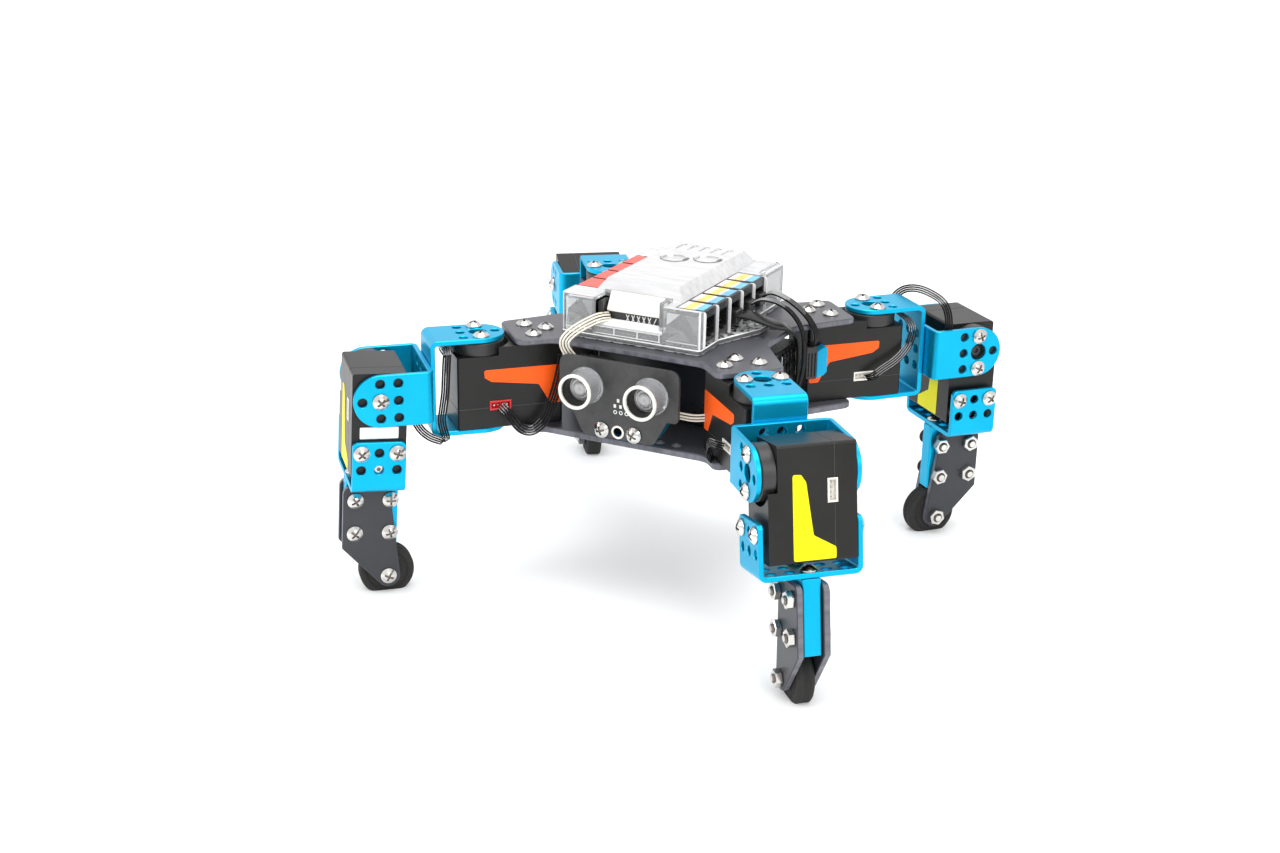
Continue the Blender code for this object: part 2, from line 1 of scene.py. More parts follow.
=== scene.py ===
"""Looks of the four-legged walking robot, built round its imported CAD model.

Lengths are in millimetres in the builders below and metres in Blender. Every piece is made in one
of the CAD's own frames: BODY (middle of the four hips), and for each leg MOUNT (square to the
body, on the hip axis), HIP (+X along the leg) and KNEE (on the knee axis, +X along the leg).
"""

import json
from math import atan2, cos, pi, radians, sin

import bmesh
import bpy
from mathutils import Matrix, Vector


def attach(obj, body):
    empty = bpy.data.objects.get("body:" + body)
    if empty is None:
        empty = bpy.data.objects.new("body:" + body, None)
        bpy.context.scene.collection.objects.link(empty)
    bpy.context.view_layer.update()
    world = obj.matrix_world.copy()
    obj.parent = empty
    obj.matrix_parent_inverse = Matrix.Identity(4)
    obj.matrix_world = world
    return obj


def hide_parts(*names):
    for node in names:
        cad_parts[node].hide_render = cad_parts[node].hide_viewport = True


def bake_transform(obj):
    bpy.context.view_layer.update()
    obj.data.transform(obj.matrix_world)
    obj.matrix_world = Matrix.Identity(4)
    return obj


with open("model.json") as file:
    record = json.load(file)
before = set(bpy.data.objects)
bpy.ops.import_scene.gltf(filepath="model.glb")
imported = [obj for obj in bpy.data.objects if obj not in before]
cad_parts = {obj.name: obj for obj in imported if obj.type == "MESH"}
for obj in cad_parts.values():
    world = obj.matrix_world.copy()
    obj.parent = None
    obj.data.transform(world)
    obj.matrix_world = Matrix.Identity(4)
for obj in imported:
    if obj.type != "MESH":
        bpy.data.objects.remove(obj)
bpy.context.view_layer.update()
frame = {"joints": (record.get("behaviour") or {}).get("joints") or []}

MM = 0.001
X, Y, Z = Vector((1, 0, 0)), Vector((0, 1, 0)), Vector((0, 0, 1))

# The camera, in the frame of the model: degrees and millimetres.
CAMERA_AT = (374.28, -799.37, 384.2)
CAMERA_AZIMUTH, CAMERA_ELEVATION, CAMERA_ROLL = 26.28994, 19.82207, 0.88728
CAMERA_LENS = 55.62

# Sizes shared with the CAD.
LEG_STEP = 48.0
PITCH = 8.0
SHEET, BEND = 2.2, 3.4
BRACKET_WIDTH, BRACKET_OUTSIDE, BRACKET_BACK = 24.0, 44.8, 23.85
SMALL_HOLE, BIG_HOLE = 2.15, 4.0
SERVO_NEAR, SERVO_FAR, SERVO_HALF = 12.3, 36.5, 12.25
SERVO_HORN_SIDE, SERVO_RECESS, SERVO_IDLER_SIDE, RECESS_RADIUS = 18.0, 13.9, 19.9, 14.0
SEAM = -10.4
HORN_LOW, HORN_TOP, HORN_RADIUS = 14.2, 19.9, 12.0
HIP_X, HIP_Y = 69.9, 65.0
TOP_PLATE, LOW_PLATE = (18.3, 21.2), (-23.4, -20.2)
FOOT_BRACKET_BACK, FOOT_BRACKET_TOP, FOOT_BRACKET_ROWS = 43.0, 19.0, (24.0, 32.0)
BEAM_TOP, BEAM_BOTTOM, BEAM_THICK = -43.3, -75.6, 8.0
SHIN_THICK, SHIN_INNER, SHIN_TOP, SHIN_HALF, SHIN_SHOULDER = 2.9, 4.3, -45.6, 13.5, -75.5
SHIN_ROWS = (-52.0, -68.0)
FOOT_SCREW, FOOT_LIFT, FOOT_RADIUS, FOOT_HALF = (-8.0, -89.6), 0.9, 12.7, 3.9
CASE_X, CASE_Y = (-36.2, 33.0), (-48.0, 46.5)
CASE_BOTTOM, BASE_TOP, CASE_TOP, CASE_RIDGE, CASE_WALL = 21.5, 24.1, 41.3, 47.0, 1.8
SOCKET_PITCH, SOCKET_COUNT, SOCKET_START = 13.4, 5, -45.0
SENSOR_SCREW_Z = -15
SENSOR_Y, SENSOR_HALF, EYE_X, EYE_Z, EYE_RADIUS, EYE_LENGTH = -61.5, 29.6, 16.0, 4.5, 8.6, 11.5
KNEE_LEAN = {"front_left": 3.0, "front_right": 9.7, "rear_right": -0.5, "rear_left": 11.5}

# Worked out from those: the brackets' flat web, bends and half width, and the shins' outer face and screws.
WEB_HALF = BRACKET_OUTSIDE / 2 - BEND
BEND_LENGTH = (BEND - SHEET / 2) * pi / 2
BRACKET_HALF = BRACKET_WIDTH / 2
SHIN_FACE = SHIN_INNER + SHIN_THICK
SHIN_SPOTS = [(x, z) for x in (-PITCH, PITCH) for z in SHIN_ROWS] + [FOOT_SCREW]

# Sizes of the looks only: radii of strands, and the spacing of points along a lead.
STRAND, HIP_STRAND, CREAM_STRAND, CABLE_STRAND = 0.43, 0.52, 0.45, 0.6
SPACING, BAND_SPACING = 1.3, 1.6

# ---------------------------------------------------------------- frames


def axes(out, across, up, at):
    made = Matrix((out, across, up)).transposed().to_4x4()
    made.translation = at
    return made


JOINT_AT = {joint["name"]: Vector(joint["pos_m"]) for joint in frame["joints"]}
MIDDLE = sum((JOINT_AT[f"{leg}_hip"] for leg in KNEE_LEAN), Vector()) / 4
BODY = Matrix.Translation(MIDDLE)
MOUNT, HIP, KNEE = {}, {}, {}
for leg, lean in KNEE_LEAN.items():
    hip_at, knee_at = JOINT_AT[f"{leg}_hip"], JOINT_AT[f"{leg}_knee"]
    out = (knee_at - hip_at).normalized()
    HIP[leg] = axes(out, Z.cross(out), Z, hip_at)
    KNEE[leg] = HIP[leg] @ Matrix.Translation((LEG_STEP * MM, 0, 0)) @ Matrix.Rotation(-radians(lean), 4, "Y")
    corner = hip_at - MIDDLE
    square = Vector((1 if corner.x > 0 else -1, 1 if corner.y > 0 else -1, 0)).normalized()
    MOUNT[leg] = axes(square, Z.cross(square), Z, hip_at)

# ---------------------------------------------------------------- meshes


def finished_mesh(bm, name, sharp=30):
    bmesh.ops.recalc_face_normals(bm, faces=bm.faces)
    mesh = bpy.data.meshes.new(name)
    bm.to_mesh(mesh)
    bm.free()
    smooth(mesh, sharp)
    return mesh


def smooth(mesh, sharp=30):
    mesh.shade_smooth()
    mesh.set_sharp_from_angle(angle=radians(sharp))


def circle(centre, radius, sides, start=0.0, sweep=2 * pi):
    """Points round a circle, or along an arc of it, ends included."""
    closed = abs(sweep) > 2 * pi - 1e-6
    count = sides if closed else sides + 1
    angles = [start + sweep * i / sides for i in range(count)]
    return [(centre[0] + radius * cos(a), centre[1] + radius * sin(a)) for a in angles]


def hole(spot):
    return circle(spot, SMALL_HOLE, 18)


def rounded(corners, steps=5):
    """An outline whose corners (x, y, radius) are rounded; a radius of 0 stays sharp."""
    points = []
    count = len(corners)
    for i, (x, y, radius) in enumerate(corners):
        corner = Vector((x, y))
        if radius == 0:
            points.append((x, y))
            continue
        back = (Vector(corners[i - 1][:2]) - corner).normalized()
        ahead = (Vector(corners[(i + 1) % count][:2]) - corner).normalized()
        half = back.angle(ahead) / 2
        centre = corner + (back + ahead).normalized() * (radius / sin(half))
        first = corner + back * (radius * cos(half) / sin(half)) - centre
        last = corner + ahead * (radius * cos(half) / sin(half)) - centre
        turn = atan2(first.x * last.y - first.y * last.x, first.dot(last))
        points += circle(centre, radius, steps, atan2(first.y, first.x), turn)
    return points


def rectangle(x0, x1, y0, y1, radius=0.0):
    return rounded([(x0, y0, radius), (x1, y0, radius), (x1, y1, radius), (x0, y1, radius)])


def area(points):
    return sum(a[0] * b[1] - a[1] * b[0] for a, b in zip(points, points[1:] + points[:1])) / 2


def drawn_in(points, step):
    """A closed outline moved to its left by a small step."""
    moved = []
    for i, point in enumerate(points):
        here = Vector(point)
        a = (here - Vector(points[i - 1])).normalized()
        b = (Vector(points[(i + 1) % len(points)]) - here).normalized()
        moved.append(here + Vector((-a.y - b.y, a.x + b.x)) * (step / max(0.2, 1 + a.dot(b))))
    return moved


def skin(bm, rings, capped=False):
    """Faces between each ring of vertices and the next, and over both ends if capped."""
    for low, high in zip(rings, rings[1:]):
        for i in range(len(low)):
            bm.faces.new((low[i - 1], low[i], high[i], high[i - 1]))
    if capped:
        bm.faces.new(rings[0])
        bm.faces.new(rings[-1])


def add_plate(bm, outlines, low, high, edge):
    """A plate between two heights, its outer outline first and then its holes, with broken edges."""
    caps = {low: [], high: []}
    for number, outline in enumerate(outlines):
        points = [tuple(p) for p in outline]
        if (area(points) > 0) == (number > 0):
            points.reverse()
        inner = drawn_in(points, edge)
        levels = [(inner, low), (points, low + edge), (points, high - edge), (inner, high)]
        if edge == 0:
            levels = [(points, low), (points, high)]
        rings = [[bm.verts.new((x * MM, y * MM, z * MM)) for x, y in ring] for ring, z in levels]
        skin(bm, rings)
        for z, ring in ((low, rings[0]), (high, rings[-1])):
            caps[z] += [bm.edges.get((ring[i - 1], ring[i])) for i in range(len(ring))]
    for edges in caps.values():
        bmesh.ops.triangle_fill(bm, edges=edges, use_beauty=True)


def plate(name, outlines, low, high, edge=0.3, walls=0):
    """One plate; walls is the number of the material on its sides."""
    bm = bmesh.new()
    add_plate(bm, outlines, low, high, edge)
    made = finished_mesh(bm, name)
    if walls:
        for face in made.polygons:
            face.material_index = walls * (abs(face.normal.z) < 0.5)
    return made


def block(x0, x1, y0, y1, z0, z1, edge=0.3, radius=0.0):
    return plate("block", [rectangle(x0, x1, y0, y1, radius)], z0, z1, edge)


def hull(points):
    bm = bmesh.new()
    for point in points:
        bm.verts.new(Vector(point) * MM)
    bmesh.ops.convex_hull(bm, input=bm.verts)
    return finished_mesh(bm, "hull")


def turned(profile, steps=32):
    """A (radius, height) profile turned about Z; points at radius 0 close it."""
    bm = bmesh.new()
    rings = []
    for radius, height in profile:
        spots = [(radius, 0)] if radius == 0 else circle((0, 0), radius, steps)
        rings.append([bm.verts.new((x * MM, y * MM, height * MM)) for x, y in spots])
    for low, high in zip(rings, rings[1:]):
        for i in range(steps):
            j = (i + 1) % steps
            corners = [low[i % len(low)], low[j % len(low)], high[j % len(high)], high[i % len(high)]]
            bm.faces.new(list(dict.fromkeys(corners)))
    return finished_mesh(bm, "turned")


def arc_profile(centre, radius, start, end, steps):
    """Part of a circle in a (radius, height) profile, angles in degrees."""
    return circle(centre, radius, steps, radians(start), radians(end - start))


def combined(parts, name="combined"):
    """One mesh of (mesh, matrix) copies, matrices in millimetres."""
    bm = bmesh.new()
    for mesh, matrix in parts:
        copy = mesh.copy()
        placed = matrix.copy()
        placed.translation = matrix.translation * MM
        copy.transform(placed)
        bm.from_mesh(copy)
        bpy.data.meshes.remove(copy)
    return finished_mesh(bm, name)


def merged(meshes, name="merged"):
    return combined([(mesh, at()) for mesh in meshes], name)


def shape(mesh, cuts=(), joins=(), bevel=0.0, segments=1):
    """A mesh joined to some meshes, cut by others and then bevelled along its sharp edges."""
    helpers = [bpy.data.objects.new("target", mesh)]
    steps = [("UNION", other) for other in joins] + [("DIFFERENCE", other) for other in cuts]
    for operation, other in steps:
        helpers.append(bpy.data.objects.new("tool", other))
        modifier = helpers[0].modifiers.new(operation, "BOOLEAN")
        modifier.operation = operation
        modifier.object = helpers[-1]
    if bevel:
        modifier = helpers[0].modifiers.new("bevel", "BEVEL")
        modifier.width = bevel * MM
        modifier.segments = segments
        modifier.limit_method = "ANGLE"
        modifier.angle_limit = radians(38)
    for helper in helpers:
        bpy.context.scene.collection.objects.link(helper)
    graph = bpy.context.evaluated_depsgraph_get()
    made = bpy.data.meshes.new_from_object(helpers[0].evaluated_get(graph))
    for helper in helpers:
        bpy.data.objects.remove(helper)
    smooth(made)
    return made


def at(x=0.0, y=0.0, z=0.0):
    return Matrix.Translation((x, y, z))


def facing(spot, direction, spin=0.0):
    """A matrix that sets +Z of a mesh along a direction, at a spot in millimetres."""
    turn = Vector(direction).to_track_quat("Z", "Y").to_matrix().to_4x4()
    return Matrix.Translation(spot) @ turn @ Matrix.Rotation(radians(spin), 4, "Z")


def smooth_route(points, spacing):
    """A Catmull-Rom curve through the points, read at about the given spacing."""
    spots = [Vector(p) for p in points]
    spots = [2 * spots[0] - spots[1]] + spots + [2 * spots[-1] - spots[-2]]
    route = [spots[1]]
    for a, b, c, d in zip(spots, spots[1:], spots[2:], spots[3:]):
        pieces = max(1, round((c - b).length / spacing))
        for i in range(1, pieces + 1):
            t = i / pieces
            route.append(
                0.5 * (2 * b + (c - a) * t + (2 * a - 5 * b + 4 * c - d) * t * t
                       + (3 * b - a - 3 * c + d) * t ** 3)
            )
    return route


def strands(routes, radius, sides=10, name="strands"):
    """Round strands along routes of points, each closed at its ends."""
    bm = bmesh.new()
    for route in routes:
        tangents = [(b - a).normalized() for a, b in zip([route[0]] + route, route)]
        tangents[0] = (route[1] - route[0]).normalized()
        side = tangents[0].orthogonal().normalized()
        rings = []
        for spot, tangent in zip(route, tangents):
            side = (side - tangent * side.dot(tangent)).normalized()
            up = tangent.cross(side)
            rings.append([bm.verts.new((spot + side * (radius * cos(a)) + up * (radius * sin(a))) * MM)
                          for a in (2 * pi * i / sides for i in range(sides))])
        skin(bm, rings, capped=True)
    return finished_mesh(bm, name, 50)


def ribbon(route, offsets, twist):
    """Routes beside one route, each moved by (sideways, up). twist lists the sideways direction at
    shares of the way along it."""
    last = len(route) - 1
    moved = [[] for _ in offsets]
    for i, spot in enumerate(route):
        tangent = (route[min(i + 1, last)] - route[max(i - 1, 0)]).normalized()
        side = Vector(twist[-1][1])
        for (a, before), (b, after) in zip(twist, twist[1:]):
            if i / last <= b:
                side = Vector(before).lerp(Vector(after), (i / last - a) / (b - a))
                break
        side = (side - tangent * side.dot(tangent)).normalized()
        up = tangent.cross(side)
        for line, (sideways, lift) in zip(moved, offsets):
            line.append(spot + side * sideways + up * lift)
    return moved


def band(route, half, thick, twist, end_half):
    """A flat cable with rounded edges along a route, gathered to another half width at its end."""
    straight, taper = 0.3, 0.4  # shares of its length
    section = rectangle(-half, half, -thick / 2, thick / 2, thick * 0.42)
    wide = ribbon(route, section, twist)
    narrow = ribbon(route, [(x * end_half / half, y) for x, y in section], twist)
    bm = bmesh.new()
    rings = []
    for i in range(len(route)):
        share = min(1.0, max(0.0, i / len(route) - straight) / taper)
        rings.append([bm.verts.new(a[i].lerp(b[i], share) * MM) for a, b in zip(wide, narrow)])
    skin(bm, rings, capped=True)
    return finished_mesh(bm, "band", 50)


# ---------------------------------------------------------------- materials


def feed(tree, shader, inputs):
    """Set a node's inputs, each to a value or to another node's output."""
    for key, value in inputs.items():
        if isinstance(value, bpy.types.NodeSocket):
            tree.links.new(value, shader.inputs[key])
        else:
            shader.inputs[key].default_value = value


def node(tree, kind, inputs, **settings):
    made = tree.nodes.new(f"ShaderNode{kind}")
    for key, value in settings.items():
        setattr(made, key, value)
    feed(tree, made, inputs)
    return made


def coordinates(tree):
    return tree.nodes.new("ShaderNodeTexCoord").outputs["Object"]


def mapped_noise(tree, scale, detail, stretch):
    mapping = node(tree, "Mapping", {"Scale": stretch, "Vector": coordinates(tree)})
    noise = node(tree, "TexNoise", {"Scale": scale, "Detail": detail, "Vector": mapping.outputs["Vector"]})
    return noise.outputs["Fac"]


def ramp(tree, factor, stops):
    node = tree.nodes.new("ShaderNodeValToRGB")
    elements = node.color_ramp.elements
    while len(elements) < len(stops):
        elements.new(0.5)
    for element, (position, colour) in zip(elements, stops):
        element.position = position
        element.color = (*colour, 1.0)
    tree.links.new(factor, node.inputs["Fac"])
    return node.outputs["Color"]


INPUTS = {"metallic": "Metallic", "specular": "Specular IOR Level", "ior": "IOR", "coat": "Coat Weight",
          "coat_roughness": "Coat Roughness", "coat_ior": "Coat IOR", "transmission": "Transmission Weight",
          "emission": "Emission Color", "glow": "Emission Strength"}


def surface(name, colour, rough, spread, patch, grain, bump, height=0.05, stretch=(1, 1, 1), **settings):
    """A procedural finish: patches of slightly different colour and gloss, with a fine grain.
    patch and grain are noise scales per metre, and height is the grain's depth in millimetres."""
    made = bpy.data.materials.new(name)
    made.use_nodes = True
    tree = made.node_tree
    shader = tree.nodes["Principled BSDF"]
    patches = mapped_noise(tree, patch, 4.0, stretch)
    grains = mapped_noise(tree, grain, 3.0, stretch)
    low = [c * (1 - spread) for c in colour]
    high = [min(1.0, c * (1 + spread) + 0.004) for c in colour]
    mixed = node(tree, "Math", {0: patches, 1: grains}, operation="ADD")
    gloss = node(tree, "MapRange", {"Value": mixed.outputs[0], "From Min": 0.6, "From Max": 1.4,
                                    "To Min": rough[0], "To Max": rough[1]})
    feed(tree, shader, {INPUTS[key]: value for key, value in settings.items()})
    feed(tree, shader, {"Base Color": ramp(tree, patches, [(0.3, low), (0.7, high)]),
                        "Roughness": gloss.outputs["Result"]})
    if bump:
        relief = node(tree, "Bump", {"Strength": bump, "Distance": height * MM, "Height": grains})
        feed(tree, shader, {"Normal": relief.outputs["Normal"]})
    return made


BLUE = surface("anodised_blue", (0.0, 0.41, 0.67), (0.34, 0.46), 0.05, 45, 2600, 0.2, 0.02, metallic=0.82,
               specular=0.2, coat=0.1, coat_roughness=0.24, coat_ior=1.5)
PLATE = surface("slate_plate", (0.06, 0.061, 0.073), (0.3, 0.44), 0.16, 30, 1400, 0.2, 0.03, specular=0.6)
# Darker copy of the plate finish for the upright shin plates: painted shade, as they get less light than the body
# plates.
SHIN_PAINTED_SHADE = surface("slate_shin_painted_shade", (0.026, 0.027, 0.033), (0.3, 0.44), 0.16, 30, 1400, 0.2, 0.03, specular=0.45)
PLATE_EDGE = surface("slate_plate_edge", (0.12, 0.12, 0.145), (0.35, 0.5), 0.35, 90, 1500, 0.4, 0.06,
                     stretch=(3, 3, 0.1))
SERVO = surface("servo_black", (0.0068, 0.0062, 0.0056), (0.28, 0.4), 0.15, 40, 3200, 0.45, 0.04,
                specular=0.31)
SEAM_GREY = surface("servo_seam", (0.05, 0.05, 0.048), (0.4, 0.5), 0.2, 80, 2000, 0.1, 0.02)
HORN = surface("horn_black", (0.018, 0.018, 0.018), (0.3, 0.45), 0.15, 80, 1800, 0.2, 0.03)
DARK = surface("deep_black", (0.012, 0.011, 0.01), (0.35, 0.5), 0.2, 80, 900, 0.1)
RUBBER = surface("tread_rubber", (0.0115, 0.0105, 0.0095), (0.68, 0.9), 0.25, 60, 1300, 0.6, 0.12)
STEEL = surface("nickel_steel", (0.62, 0.605, 0.58), (0.12, 0.28), 0.15, 160, 1500, 0.15, 0.02,
                metallic=1.0)
# Darker steel for screw recesses, the rim under screw heads and bolt threads: painted shade.
RECESS_PAINTED_SHADE = surface("screw_recess_painted_shade", (0.2, 0.175, 0.16), (0.35, 0.5), 0.2, 200, 1500, 0.1, 0.02, metallic=1.0)
ORANGE = surface("orange_vinyl", (0.92, 0.105, 0.004), (0.38, 0.5), 0.06, 40, 2200, 0.1, 0.02,
                 specular=0.25)
YELLOW = surface("yellow_vinyl", (0.9, 0.82, 0.001), (0.38, 0.5), 0.04, 40, 2200, 0.1, 0.02, specular=0.2)
AMBER = surface("amber_print", (0.86, 0.56, 0.12), (0.3, 0.45), 0.3, 260, 1500, 0.1, 0.02)
SKY = surface("sky_print", (0.13, 0.42, 0.62), (0.3, 0.45), 0.25, 260, 1500, 0.1, 0.02)
PALE = surface("pale_print", (0.66, 0.62, 0.62), (0.3, 0.45), 0.25, 260, 1500, 0.1, 0.02)
PAPER = surface("white_vinyl", (0.82, 0.82, 0.8), (0.4, 0.55), 0.05, 60, 1800, 0.1, 0.02)
WHITE = surface("white_nylon", (0.78, 0.76, 0.7), (0.32, 0.45), 0.06, 90, 1500, 0.15, 0.03)
RED = surface("red_nylon", (0.62, 0.018, 0.02), (0.32, 0.45), 0.1, 90, 1500, 0.15, 0.03)
RED_LABEL = surface("red_vinyl", (0.7, 0.09, 0.07), (0.35, 0.5), 0.08, 60, 1500, 0.1, 0.02)
BLUE_PLASTIC = surface("blue_nylon", (0.0, 0.35, 0.6), (0.4, 0.5), 0.08, 90, 1500, 0.15, 0.03,
                       specular=0.2)
GLOSS_BLACK = surface("socket_black", (0.01, 0.01, 0.01), (0.22, 0.36), 0.2, 90, 1500, 0.15, 0.03)
CABLE = surface("black_cable", (0.006, 0.006, 0.006), (0.14, 0.24), 0.15, 120, 900, 0.1, 0.02,
                specular=0.16)
# Pale grey for the upward faces of black cable strands: a painted highlight.
CABLE_PAINTED_HIGHLIGHT = surface("black_cable_painted_highlight", (0.22, 0.22, 0.22), (0.14, 0.24), 0.15, 120, 900, 0.1, 0.02)
WIRE = surface("cream_wire", (0.74, 0.7, 0.6), (0.34, 0.46), 0.06, 120, 900, 0.1, 0.03)
BOARD = surface("board_black", (0.03, 0.03, 0.03), (0.26, 0.4), 0.22, 220, 1200, 0.2, 0.03)
SILK = surface("board_print", (0.8, 0.8, 0.78), (0.5, 0.62), 0.06, 300, 1500, 0.1, 0.02)
CAN = surface("brushed_can", (0.7, 0.7, 0.72), (0.16, 0.26), 0.06, 40, 1600, 0.08, 0.02, metallic=1.0,
              stretch=(1, 1, 0.08))
GOLD = surface("gold_contact", (0.78, 0.56, 0.2), (0.2, 0.35), 0.1, 120, 1500, 0.1, 0.02, metallic=1.0)
BATTERY = surface("battery_wrap", (0.022, 0.023, 0.027), (0.25, 0.4), 0.2, 30, 700, 0.2, 0.1)
CLEAR = surface("clear_polycarbonate", (0.95, 0.97, 0.975), (0.02, 0.08), 0.01, 40, 500, 0.06, 0.05,
                transmission=0.88, ior=1.5)
# Frosted finish on the raised middle and rear of the cover, also put on faces that look up, where its paler
# colour is painted sheen from the light above.
FROST_AND_SHEEN = surface("frosted_polycarbonate_painted_sheen", (0.8, 0.8, 0.81), (0.08, 0.2), 0.1, 150, 700, 0.15, 0.08,
                stretch=(0.35, 2, 2), transmission=0.45, ior=1.5)
# Dark brownish grey for marks inside the clear case: painted shade.
PAINTED_SHADE = surface("painted_shadow", (0.16, 0.145, 0.13), (0.15, 0.3), 0.5, 400, 900, 0.1, 0.05)
# Near-white for the clear case's bevels, ribs and edge lines: a painted highlight.
GLINT = surface("painted_highlight_edge", (0.95, 0.95, 0.95), (0.1, 0.25), 0.04, 90, 700, 0.1, 0.05,
                transmission=0.12, ior=1.5)
SLEEVE = surface("clear_sleeve", (0.92, 0.93, 0.94), (0.04, 0.12), 0.01, 40, 700, 0.1, 0.05,
                 transmission=0.85, ior=1.46)


def gauze_material():
    """Fine metal gauze over a transducer: a woven relief of two crossed waves."""
    made = surface("eye_gauze", (0.4, 0.4, 0.41), (0.3, 0.5), 0.3, 300, 1200, 0.0, metallic=0.35)
    tree = made.node_tree
    where = coordinates(tree)
    waves = [node(tree, "TexWave", {"Scale": 420, "Vector": where}, bands_direction=direction).outputs["Fac"]
             for direction in ("X", "Z")]
    total = node(tree, "Math", dict(enumerate(waves)), operation="ADD").outputs[0]
    relief = node(tree, "Bump", {"Strength": 0.9, "Distance": 0.4 * MM, "Height": total})
    wires = ramp(tree, total, [(0.25, (0.12, 0.12, 0.12)), (0.6, (0.92, 0.92, 0.93))])
    feed(tree, tree.nodes["Principled BSDF"], {"Normal": relief.outputs["Normal"], "Base Color": wires})
    return made


def painted_glint_facet_material():
    """Clear moulded lattice: small bright and dark facets painted in, as painted glints and painted shade for
    light refracted through it.
    """
    made = surface("painted_glint_facets", (0.9, 0.9, 0.91), (0.06, 0.2), 0.02, 90, 700, 0.0, transmission=0.25,
                   ior=1.5)
    tree = made.node_tree
    cells = node(tree, "TexVoronoi", {"Scale": 640, "Vector": coordinates(tree)})
    split = node(tree, "SeparateColor", {"Color": cells.outputs["Color"]})
    shades = ramp(tree, split.outputs["Red"], [(0.16, (0.04, 0.04, 0.042)), (0.3, (0.45, 0.45, 0.46)),
                                               (0.45, (0.92, 0.92, 0.93))])
    feed(tree, tree.nodes["Principled BSDF"], {"Base Color": shades})
    return made


GAUZE = gauze_material()
PAINTED_GLINT_FACETS = painted_glint_facet_material()

# ---------------------------------------------------------------- pieces


def dress(mesh, materials, choose):
    """Give a mesh several materials, chosen by each face's middle, normal and area in millimetres."""
    for material in materials:
        mesh.materials.append(material)
    for face in mesh.polygons:
        face.material_index = choose(face.center / MM, face.normal, face.area / MM / MM)
    return mesh


def placed(name, data, matrix):
    made = bpy.data.objects.new(name, data)
    bpy.context.scene.collection.objects.link(made)
    made.matrix_world = matrix
    return made


def piece(name, mesh, matrix, body, slot, material, replaces=(), second=None, weighted=True):
    """Set a mesh in a frame and let it ride on a body. Faces marked 1 take the second material."""
    made = placed(name, mesh, matrix)
    if not mesh.materials:
        mesh.materials.append(material)
        if second:
            mesh.materials.append(second)
    if weighted:
        modifier = made.modifiers.new("even_normals", "WEIGHTED_NORMAL")
        modifier.keep_sharp = True
    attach(made, body)
    if replaces:
        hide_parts(*replaces)


def fixed(name, mesh, slot, material, replaces=(), **more):
    """A piece on the chassis, in the BODY frame."""
    piece(name, mesh, BODY, "chassis", slot, material, replaces, **more)


def copies(name, mesh, spots, matrix, body):
    """Fasteners at (spot, direction, spin) places, as one piece."""
    parts = [(mesh, facing(spot, direction, spin)) for spot, direction, spin in spots]
    piece(name, combined(parts, name), matrix, body, "steel_fastener", STEEL, second=RECESS_PAINTED_SHADE)


def pan_head():
    """Round-headed screw with a cross recess, seen from its head."""
    dome = arc_profile((0, -1.6), 4.2, 36, 90, 6)
    flank = [(0, -0.6), (2.0, -0.6), (2.0, 0.0), (3.55, 0.0), (3.7, 0.2), (3.7, 0.75)]
    profile = flank + dome[1:-1] + [(0, 2.6)]
    arm, half = 2.15, 0.48
    cross = [(arm, -half), (arm, half), (half, half), (half, arm), (-half, arm), (-half, half),
             (-arm, half), (-arm, -half), (-half, -half), (-half, -arm), (half, -arm), (half, -half)]
    made = shape(turned(profile, 28), [plate("cross", [cross], 1.0, 4, 0)], bevel=0.05)
    # Faces deep in the cross and the lip under the head take the second material: painted shade.
    for face in made.polygons:
        x, y, z = face.center / MM
        inside = min(abs(x), abs(y)) < half - 0.01 and max(abs(x), abs(y)) < arm + 0.02
        under = z < 2.4 - 0.12 * (x * x + y * y) and z > 0.8
        face.material_index = int(inside and under) or int(z < 0.14 and z > -0.1)
    return made


def hex_nut():
    """Nut with the end of its bolt standing out of it."""
    across = 7.0
    corners = circle((0, 0), across / 2 / cos(pi / 6), 6)
    nut = plate("nut", [corners, circle((0, 0), 2.05, 20)], 0, 3.0, 0.35)
    bolt = turned([(0, -0.5), (1.95, -0.5)] + [(1.95 - 0.15 * (i % 2), 0.3 + 0.35 * i) for i in range(10)]
                  + [(1.5, 4.0), (0, 4.2)], 20)
    # The bolt's threaded side takes the second material: painted shade in the threads.
    for face in bolt.polygons:
        face.material_index = int(abs(face.normal.z) < 0.9)
    return merged([nut, bolt])


SCREW = pan_head()
NUT = hex_nut()


def folded(blank, back):
    """Fold a flat blank (s along it, its outer face down) into a U whose web is at x = back."""
    bm = bmesh.new()
    bm.from_mesh(blank)
    stations = 7
    for sign in (-1, 1):
        for i in range(stations + 1):
            s = sign * (WEB_HALF + BEND_LENGTH * i / stations)
            geometry = bm.verts[:] + bm.edges[:] + bm.faces[:]
            bmesh.ops.bisect_plane(bm, geom=geometry, plane_co=(s * MM, 0, 0), plane_no=(1, 0, 0), dist=1e-7)
    for vert in bm.verts:
        s, y, depth = (c / MM for c in vert.co)
        sign = 1 if s > 0 else -1
        past = abs(s) - WEB_HALF
        if past <= 0:
            x, z = back - depth, s
        elif past < BEND_LENGTH:
            turn = past / BEND_LENGTH * pi / 2
            x = back - BEND + (BEND - depth) * cos(turn)
            z = sign * (WEB_HALF + (BEND - depth) * sin(turn))
        else:
            x = back - BEND - (past - BEND_LENGTH)
            z = sign * (WEB_HALF + BEND - depth)
        vert.co = Vector((x, y, z)) * MM
    return finished_mesh(bm, "folded", 28)


def flat_sheet(outline, holes):
    """A bracket's flat sheet, before it is folded."""
    return plate("blank", [outline] + holes, 0, SHEET, 0.28)


